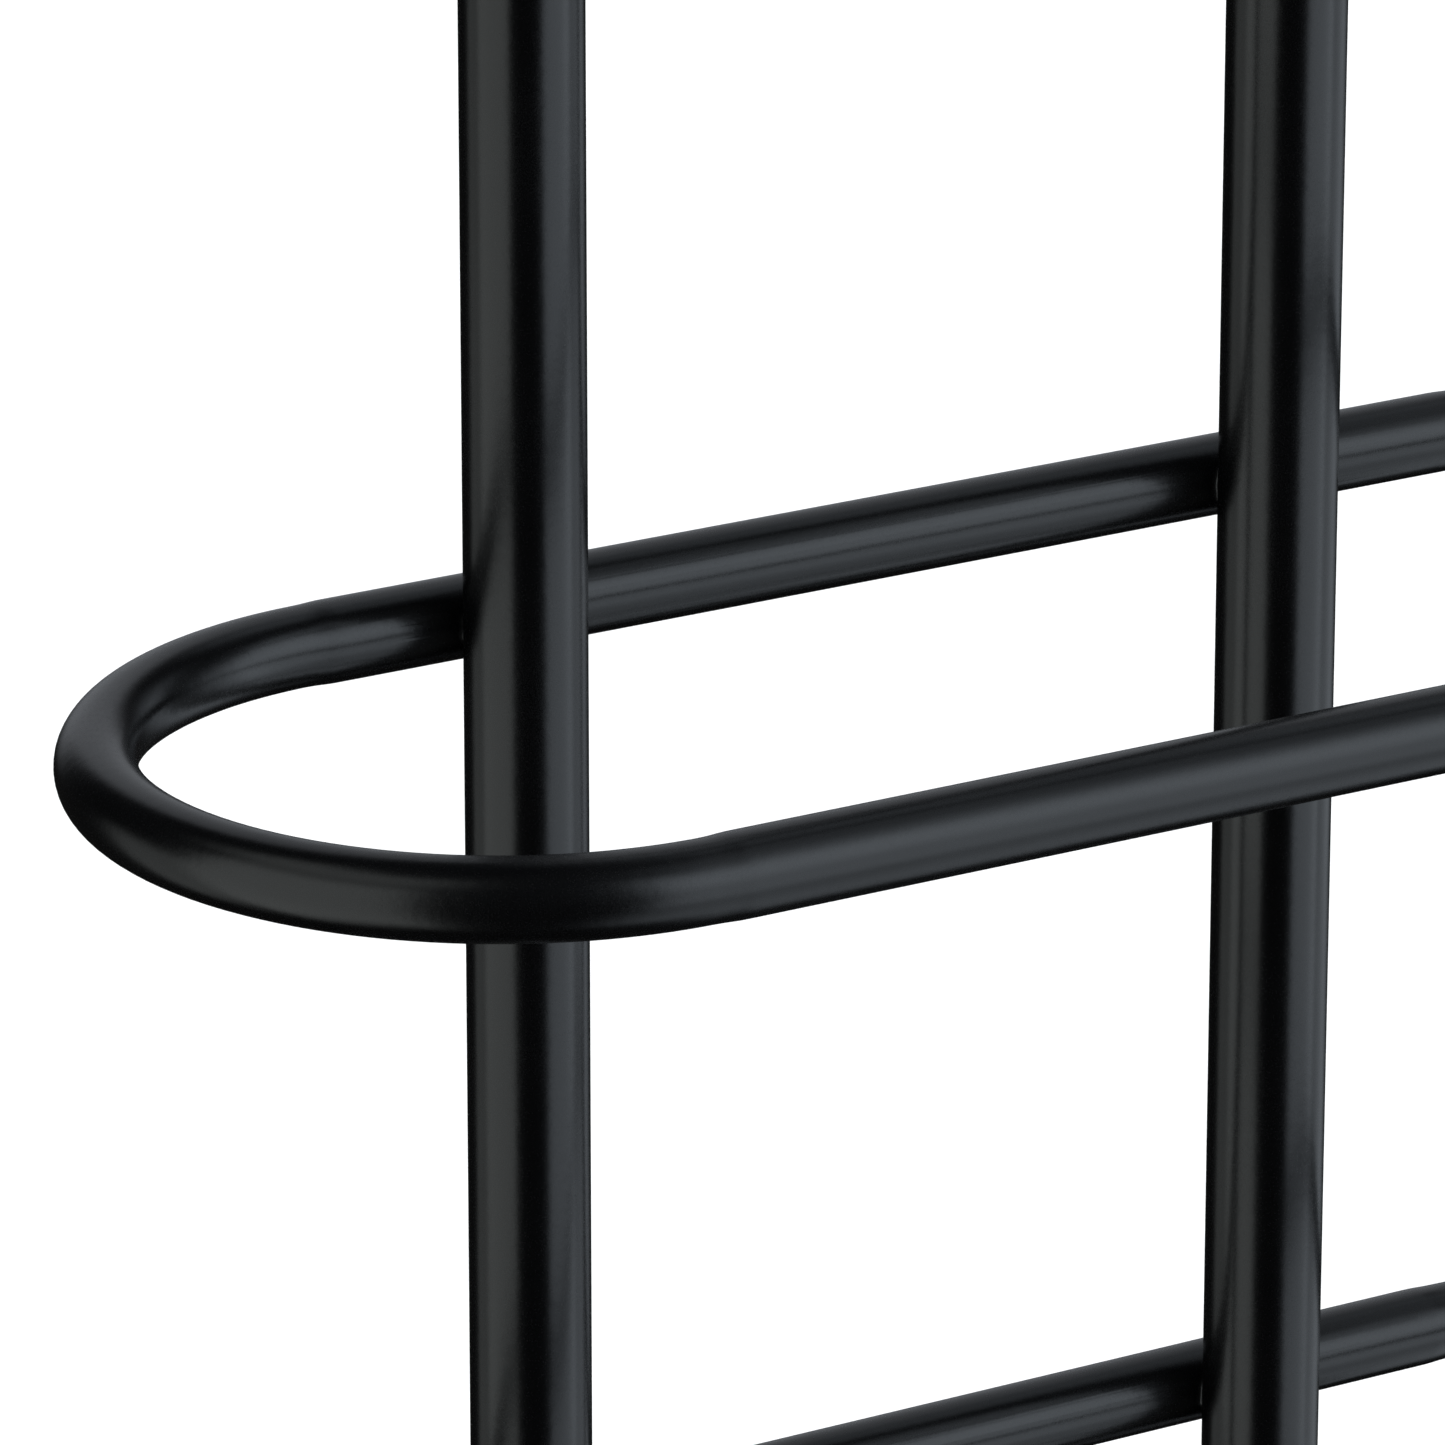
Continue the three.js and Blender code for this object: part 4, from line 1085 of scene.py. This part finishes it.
def build_knob():
    """A tapered knob with finger flutes on its side and a pointer rib on its front."""
    side_bottom, side_top = 2.4 * MM, KNOB_HEIGHT - 1.6 * MM
    profile = [
        (0, 2 * MM), (13 * MM, 2 * MM), (13 * MM, 0.3 * MM), (KNOB_RADIUS, 0.3 * MM, 0.4 * MM),
        (KNOB_RADIUS, side_bottom, 0.2 * MM), (KNOB_RADIUS - MM, side_top, 0.2 * MM),
        (KNOB_RADIUS - MM, KNOB_HEIGHT, 1.2 * MM), (10 * MM, KNOB_HEIGHT, 0.5 * MM),
        (9.2 * MM, KNOB_HEIGHT - 0.5 * MM, 0.5 * MM), (0, KNOB_HEIGHT - 0.5 * MM),
    ]

    def flute(height):
        rise = smooth((height - side_bottom) / (1.5 * MM))
        depth = FLUTE_DEPTH * rise * smooth((side_top - height) / MM + 1)
        return lambda angle: 1 - depth * (0.5 - 0.5 * math.cos(FLUTES * angle)) ** 2

    outline = rounded(profile, closed=False)
    dense = []
    for first, second in zip(outline, outline[1:]):
        is_side = (second - first).length > 8 * MM and min(first.x, second.x) > FLUTE_ROOT
        steps = FLUTE_STEPS if is_side else 1
        dense += [first.lerp(second, k / steps) for k in range(steps)]
    dense.append(outline[-1])
    rings = []
    for p in dense:
        outside = p.x > FLUTE_ROOT and p.y > side_bottom
        shape = flute(p.y) if outside else None
        rings.append(circle(p.x, p.y, KNOB_AXIS, FLUTES * FLUTE_STEPS, shape))
    knob = loft("knob_body", rings)
    cut(knob, drill(3.3 * MM, MM, KNOB_HEIGHT - 3 * MM, KNOB_AXIS))
    turn = KNOB_AXIS @ Matrix.Rotation(POINTER_TURN, 4, "Z")
    rib = rectangle(1.6 * MM, 8 * MM, 0.7 * MM, y=8 * MM)
    join(knob, prism("rib_tool", rib, KNOB_HEIGHT - 2 * MM, KNOB_HEIGHT + 0.6 * MM, turn, 0.3 * MM))
    settle(knob, "knob_plastic", "thermostat_knob", body="knob", sharp=30)

    near, far = depths_of("knob_shaft")
    profile = [(0, near), (3 * MM, near, 0.4 * MM), (3 * MM, far, 0.4 * MM), (0, far)]
    shaft = turned("pot_shaft", profile, KNOB_AXIS, sides=48)
    flat_cut = rectangle(8 * MM, 3 * MM, 0.1 * MM, y=3.9 * MM)
    cut(shaft, prism("flat_tool", flat_cut, MM, far + MM, turn))
    settle(shaft, "steel", "knob_shaft", body="knob", material=DEEP_STEEL)


SCALE_STEPS = 9
SCALE_RADIUS = 18.4 * MM
DOT_HEIGHT = 0.28 * MM
DOT_ROOT = -0.3 * MM


def build_scale():
    """Raised dots round the knob, growing from the coolest setting to the warmest."""
    for i in range(SCALE_STEPS):
        angle = HALF_TURN * (1.25 - 1.5 * i / (SCALE_STEPS - 1))
        size = (0.45 + 0.055 * i) * MM
        x, y = SCALE_RADIUS * math.cos(angle), SCALE_RADIUS * math.sin(angle)
        profile = [(0, DOT_ROOT), (size, DOT_ROOT), (size, DOT_HEIGHT, 0.2 * MM), (0, DOT_HEIGHT)]
        where = KNOB_AXIS @ Matrix.Translation((x, y, 0))
        dot = turned(f"scale_dot_{i + 1}", profile, where, sides=24)
        settle(dot, "button_plastic")


def build_button():
    inner, outer = depths_of("power_button")
    radius = 5.5 * MM
    stem = 2 * MM
    flange = -HEAD_WALL - 0.3 * MM
    flange_back = flange - 1.2 * MM
    flange_radius = radius + 1.3 * MM
    dish = outer - 0.35 * MM
    profile = [
        (0, inner), (stem, inner, 0.3 * MM), (stem, flange_back),
        (flange_radius, flange_back, 0.2 * MM), (flange_radius, flange, 0.2 * MM), (radius, flange),
        (radius, outer, 0.6 * MM), (3.4 * MM, outer, 0.5 * MM), (2.9 * MM, dish, 0.5 * MM),
        (0, dish),
    ]
    button = turned("button_cap", profile, BUTTON_AXIS)
    settle(button, "button_plastic", "power_button", body="button")


def build_lens():
    inner, outer = depths_of("indicator_lens")
    radius = 1.6 * MM
    flange = inner + MM
    profile = [
        (0, inner), (radius + MM, inner, 0.2 * MM), (radius + MM, flange, 0.2 * MM),
        (radius, flange), (radius, outer, 0.62 * MM), (0, outer),
    ]
    settle(turned("lamp_lens", profile, LENS_AXIS, sides=48), "lens", "indicator_lens")


build_housing()
build_base()
build_knob()
build_scale()
build_button()
build_lens()

# ---- inside the control head


def build_potentiometer():
    back, front = depths_of("potentiometer")
    can = back + 6.5 * MM
    floor = depths_of("knob_shaft")[0] - 0.3 * MM
    bore = 3.3 * MM
    profile = [
        (0, back), (8 * MM, back, 0.6 * MM), (8 * MM, can, 0.8 * MM), (5 * MM, can),
        *threaded(5 * MM, can + 0.3 * MM, front, THREAD_DEPTH / 2), (bore, front), (bore, floor),
        (0, floor),
    ]
    body = turned("pot_body", profile, KNOB_AXIS)
    settle(body, "inner_plastic", "potentiometer")


def box_piece(node, name, corner, edge):
    """A block with rounded corners and edges in the place of a CAD node."""
    low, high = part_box(node)
    outline = rectangle(high.x - low.x, high.y - low.y, corner)
    return prism(name, outline, low.z, high.z, axis_of(node), edge)


TERMINAL_PITCH = 6 * MM


def build_circuit():
    board = box_piece("circuit_board", "driver_board", 0.2 * MM, 0.1 * MM)
    settle(board, "board", "circuit_board")

    block = box_piece("terminal_block", "wire_block", 0.5 * MM, 0.5 * MM)
    low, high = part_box("terminal_block")
    middle = centre_of("terminal_block")
    for step in (-1, 0, 1):
        where = upright(middle.x + step * TERMINAL_PITCH, middle.y)
        cut(block, drill(1.6 * MM, low.z - MM, low.z + 7 * MM, where))
        cut(block, drill(2 * MM, high.z - 2 * MM, high.z, where, 0.2 * MM))
    settle(block, "inner_plastic", "terminal_block")

    back, front = depths_of("button_switch")
    width = 2 * radius_of("button_switch")
    outline = rectangle(width, width, 0.4 * MM)
    body = prism("tact_switch", outline, back, front - 0.7 * MM, BUTTON_AXIS, 0.2 * MM)
    plunger = [(0, front - MM), (1.7 * MM, front - MM), (1.7 * MM, front, 0.3 * MM), (0, front)]
    join(body, turned("plunger_tool", plunger, BUTTON_AXIS, sides=40))
    settle(body, "inner_plastic", "button_switch")

    low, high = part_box("thermal_cutout")
    disc = high.z - 5 * MM
    profile = [
        (0, low.z), (2.5 * MM, low.z, 0.4 * MM), (2.5 * MM, disc), (4 * MM, disc, 0.5 * MM),
        (4 * MM, high.z - 1.4 * MM, 0.3 * MM), (3.5 * MM, high.z - 1.1 * MM, 0.2 * MM),
        (3.5 * MM, high.z, 0.3 * MM), (0, high.z),
    ]
    cutout = turned("cutout_body", profile, axis_of("thermal_cutout"), sides=48)
    settle(cutout, "inner_plastic", "thermal_cutout")


RIBS = 20  # on the gland's nut
RIB_DEPTH = 0.05  # as a share of the radius
RIB_ROOT = 7.9 * MM  # the nut has ribs outside this radius only


def build_gland():
    low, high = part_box("cable_gland")
    flange_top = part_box("control_base")[0].z - 0.3 * MM
    radius, wide, bore = 6 * MM, 8.2 * MM, 3.6 * MM
    seat = low.z + 5 * MM
    flange = flange_top - 3.5 * MM
    profile = [
        (bore, high.z, 0.4 * MM), (bore, seat), (4.9 * MM, seat), (4.9 * MM, low.z),
        (radius, low.z), (radius, flange), (wide, flange, 0.5 * MM), (wide, flange_top, 0.5 * MM),
        (radius, flange_top), (radius, high.z, 0.3 * MM),
    ]
    settle(turned("gland_body", profile, HEAD_AXIS), "gland_plastic", "cable_gland")

    low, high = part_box("gland_nut")
    inside = low.z + 2.7 * MM
    profile = [
        (6.3 * MM, high.z, 0.2 * MM), (6.3 * MM, inside), (4 * MM, inside),
        (4 * MM, low.z, 0.5 * MM), (6.5 * MM, low.z, 0.8 * MM), (wide, low.z + 2 * MM, 0.8 * MM),
        (wide, high.z, 0.5 * MM),
    ]

    def grip(angle):
        return 1 - RIB_DEPTH * (0.5 - 0.5 * math.cos(RIBS * angle)) ** 2

    rings = []
    for p in rounded(profile, closed=True):
        rings.append(circle(p.x, p.y, HEAD_AXIS, RIBS * FLUTE_STEPS, grip if p.x > RIB_ROOT else None))
    nut = loft("gland_cap_nut", rings, wrap=True)
    settle(nut, "gland_plastic", "gland_nut", sharp=30)

    build_seal("gland_seal", "gland_washer", bore=2.4 * MM, edge=0.4 * MM, sides=48)


build_potentiometer()
build_circuit()
build_gland()

# ---- floor, light and camera

FLOOR_DROP = 4 * MM
FLOOR_REACH = 60.0  # metres


def build_floor():
    level = cad_box[0].z - FLOOR_DROP
    reach = FLOOR_REACH
    corners = [(-reach, -reach), (reach, -reach), (reach, reach), (-reach, reach)]
    floor = new_object("floor", [(x, y, level) for x, y in corners], [(0, 1, 2, 3)])
    made = Surface("pale_floor")
    tone = made.blend(made.noise(400 * MM), rgb(0.9, 0.9, 0.9), rgb(0.92, 0.92, 0.92))
    floor.data.materials.append(made.done(tone, 0.9))
    floor.visible_glossy = False


# Soft panels all round the object, with angles in degrees: azimuth of the middle, half the width,
# softness of the sides, lowest and highest elevation, softness of the top and bottom, strength and
# tint. Azimuth 0 is in front of the object and 90 at its right.
COOL = (0.905, 1.0, 1.1)
PLAIN = (0.945, 1.0, 0.99)
BEHIND = (0.945, 1.0, 1.08)
PANELS = [
    (36, 28, 4, -30, 46, 12, 1.35, COOL),
    (30, 22, 10, 8, 34, 10, 0.6, COOL),
    (84, 26, 14, -42, 20, 14, 0.75, COOL),
    (52, 44, 16, -62, -34, 8, 0.8, COOL),
    (70, 42, 20, 48, 66, 8, 0.42, COOL),
    (125, 16, 8, 44, 62, 8, 0.35, COOL),
    (155, 22, 8, -6, 52, 8, 0.42, BEHIND),
    (-84, 30, 4, -60, 38, 12, 1.05, PLAIN),
    (-128, 16, 3, -50, 4, 10, 0.45, PLAIN),
    (-90, 40, 14, 44, 66, 8, 0.7, PLAIN),
]
AMBIENT = 0.012


def build_world():
    world = bpy.data.worlds.new("studio")
    bpy.context.scene.world = world
    world.use_nodes = True
    nodes = Nodes(world.node_tree)
    world.node_tree.nodes.clear()
    towards = nodes.add("ShaderNodeTexCoord").outputs["Generated"]
    split = nodes.add("ShaderNodeSeparateXYZ")
    nodes.link(towards, split.inputs[0])
    x, y, z = split.outputs
    azimuth = nodes.math("DEGREES", nodes.math("ARCTAN2", x, nodes.math("MULTIPLY", y, -1.0)))
    elevation = nodes.math("DEGREES", nodes.math("ARCSINE", z))

    def window(value, middle, half, soft, around):
        away = nodes.math("SUBTRACT", value, middle)
        if around:
            away = nodes.math("WRAP", away, 180.0, -180.0)
        inside = nodes.add("ShaderNodeMapRange", interpolation_type="SMOOTHSTEP")
        nodes.link(nodes.math("ABSOLUTE", away), inside.inputs["Value"])
        inside.inputs["From Min"].default_value = half + soft
        inside.inputs["From Max"].default_value = half - soft
        return inside.outputs[0]

    total = (AMBIENT,) * 3
    for middle, half, soft, low, high, soft_up, strength, tint in PANELS:
        across = window(azimuth, float(middle), half, soft, around=True)
        upward = window(elevation, (low + high) / 2, (high - low) / 2, soft_up, around=False)
        amount = nodes.math("MULTIPLY", nodes.math("MULTIPLY", across, upward), float(strength))
        panel = nodes.vector("SCALE", tint)
        nodes.link(amount, panel.inputs["Scale"])
        total = nodes.vector("ADD", total, panel.outputs[0]).outputs[0]
    # The camera sees plain white, and everything else sees the panels.
    seen = nodes.add("ShaderNodeBackground")
    seen.inputs["Color"].default_value = rgb(1, 1, 1)
    light = nodes.add("ShaderNodeBackground")
    nodes.link(total, light.inputs["Color"])
    pick = nodes.add("ShaderNodeMixShader")
    nodes.link(nodes.add("ShaderNodeLightPath").outputs["Is Camera Ray"], pick.inputs[0])
    nodes.link(light.outputs[0], pick.inputs[1])
    nodes.link(seen.outputs[0], pick.inputs[2])
    out = nodes.add("ShaderNodeOutputWorld")
    nodes.link(pick.outputs[0], out.inputs["Surface"])


SUN_STRENGTH = 3.2
SUN_WIDTH = 50  # degrees
SUN_LEAN = (12, -8)  # degrees about X and Y


def build_sun():
    """A wide overhead light that whitens the floor and leaves no glint on the tubes."""
    lamp = bpy.data.lights.new("overhead", "SUN")
    lamp.energy = SUN_STRENGTH
    lamp.angle = math.radians(SUN_WIDTH)
    sun = bpy.data.objects.new("overhead", lamp)
    sun.rotation_euler = (*map(math.radians, SUN_LEAN), 0)
    sun.visible_glossy = False
    bpy.context.scene.collection.objects.link(sun)


CAMERA_PLACE = (-1.1547, -1.9216, 0.7198)
CAMERA_YAW = 30.962  # degrees, from straight at the wall towards the right
CAMERA_PITCH = 19.224  # degrees down
CAMERA_LENS = 250.06  # millimetres, as the sensor's width
SENSOR_WIDTH = 36
CAMERA_FAR = 200  # metres


def build_camera():
    lens = bpy.data.cameras.new("photo_view")
    lens.lens = CAMERA_LENS
    lens.sensor_width = SENSOR_WIDTH
    lens.clip_end = CAMERA_FAR
    camera = bpy.data.objects.new("photo_view", lens)
    camera.location = CAMERA_PLACE
    camera.rotation_euler = (math.radians(90 - CAMERA_PITCH), 0, math.radians(-CAMERA_YAW))
    bpy.context.scene.collection.objects.link(camera)
    bpy.context.scene.camera = camera


build_floor()
build_world()
build_sun()
build_camera()
bpy.context.scene.view_settings.view_transform = "Standard"
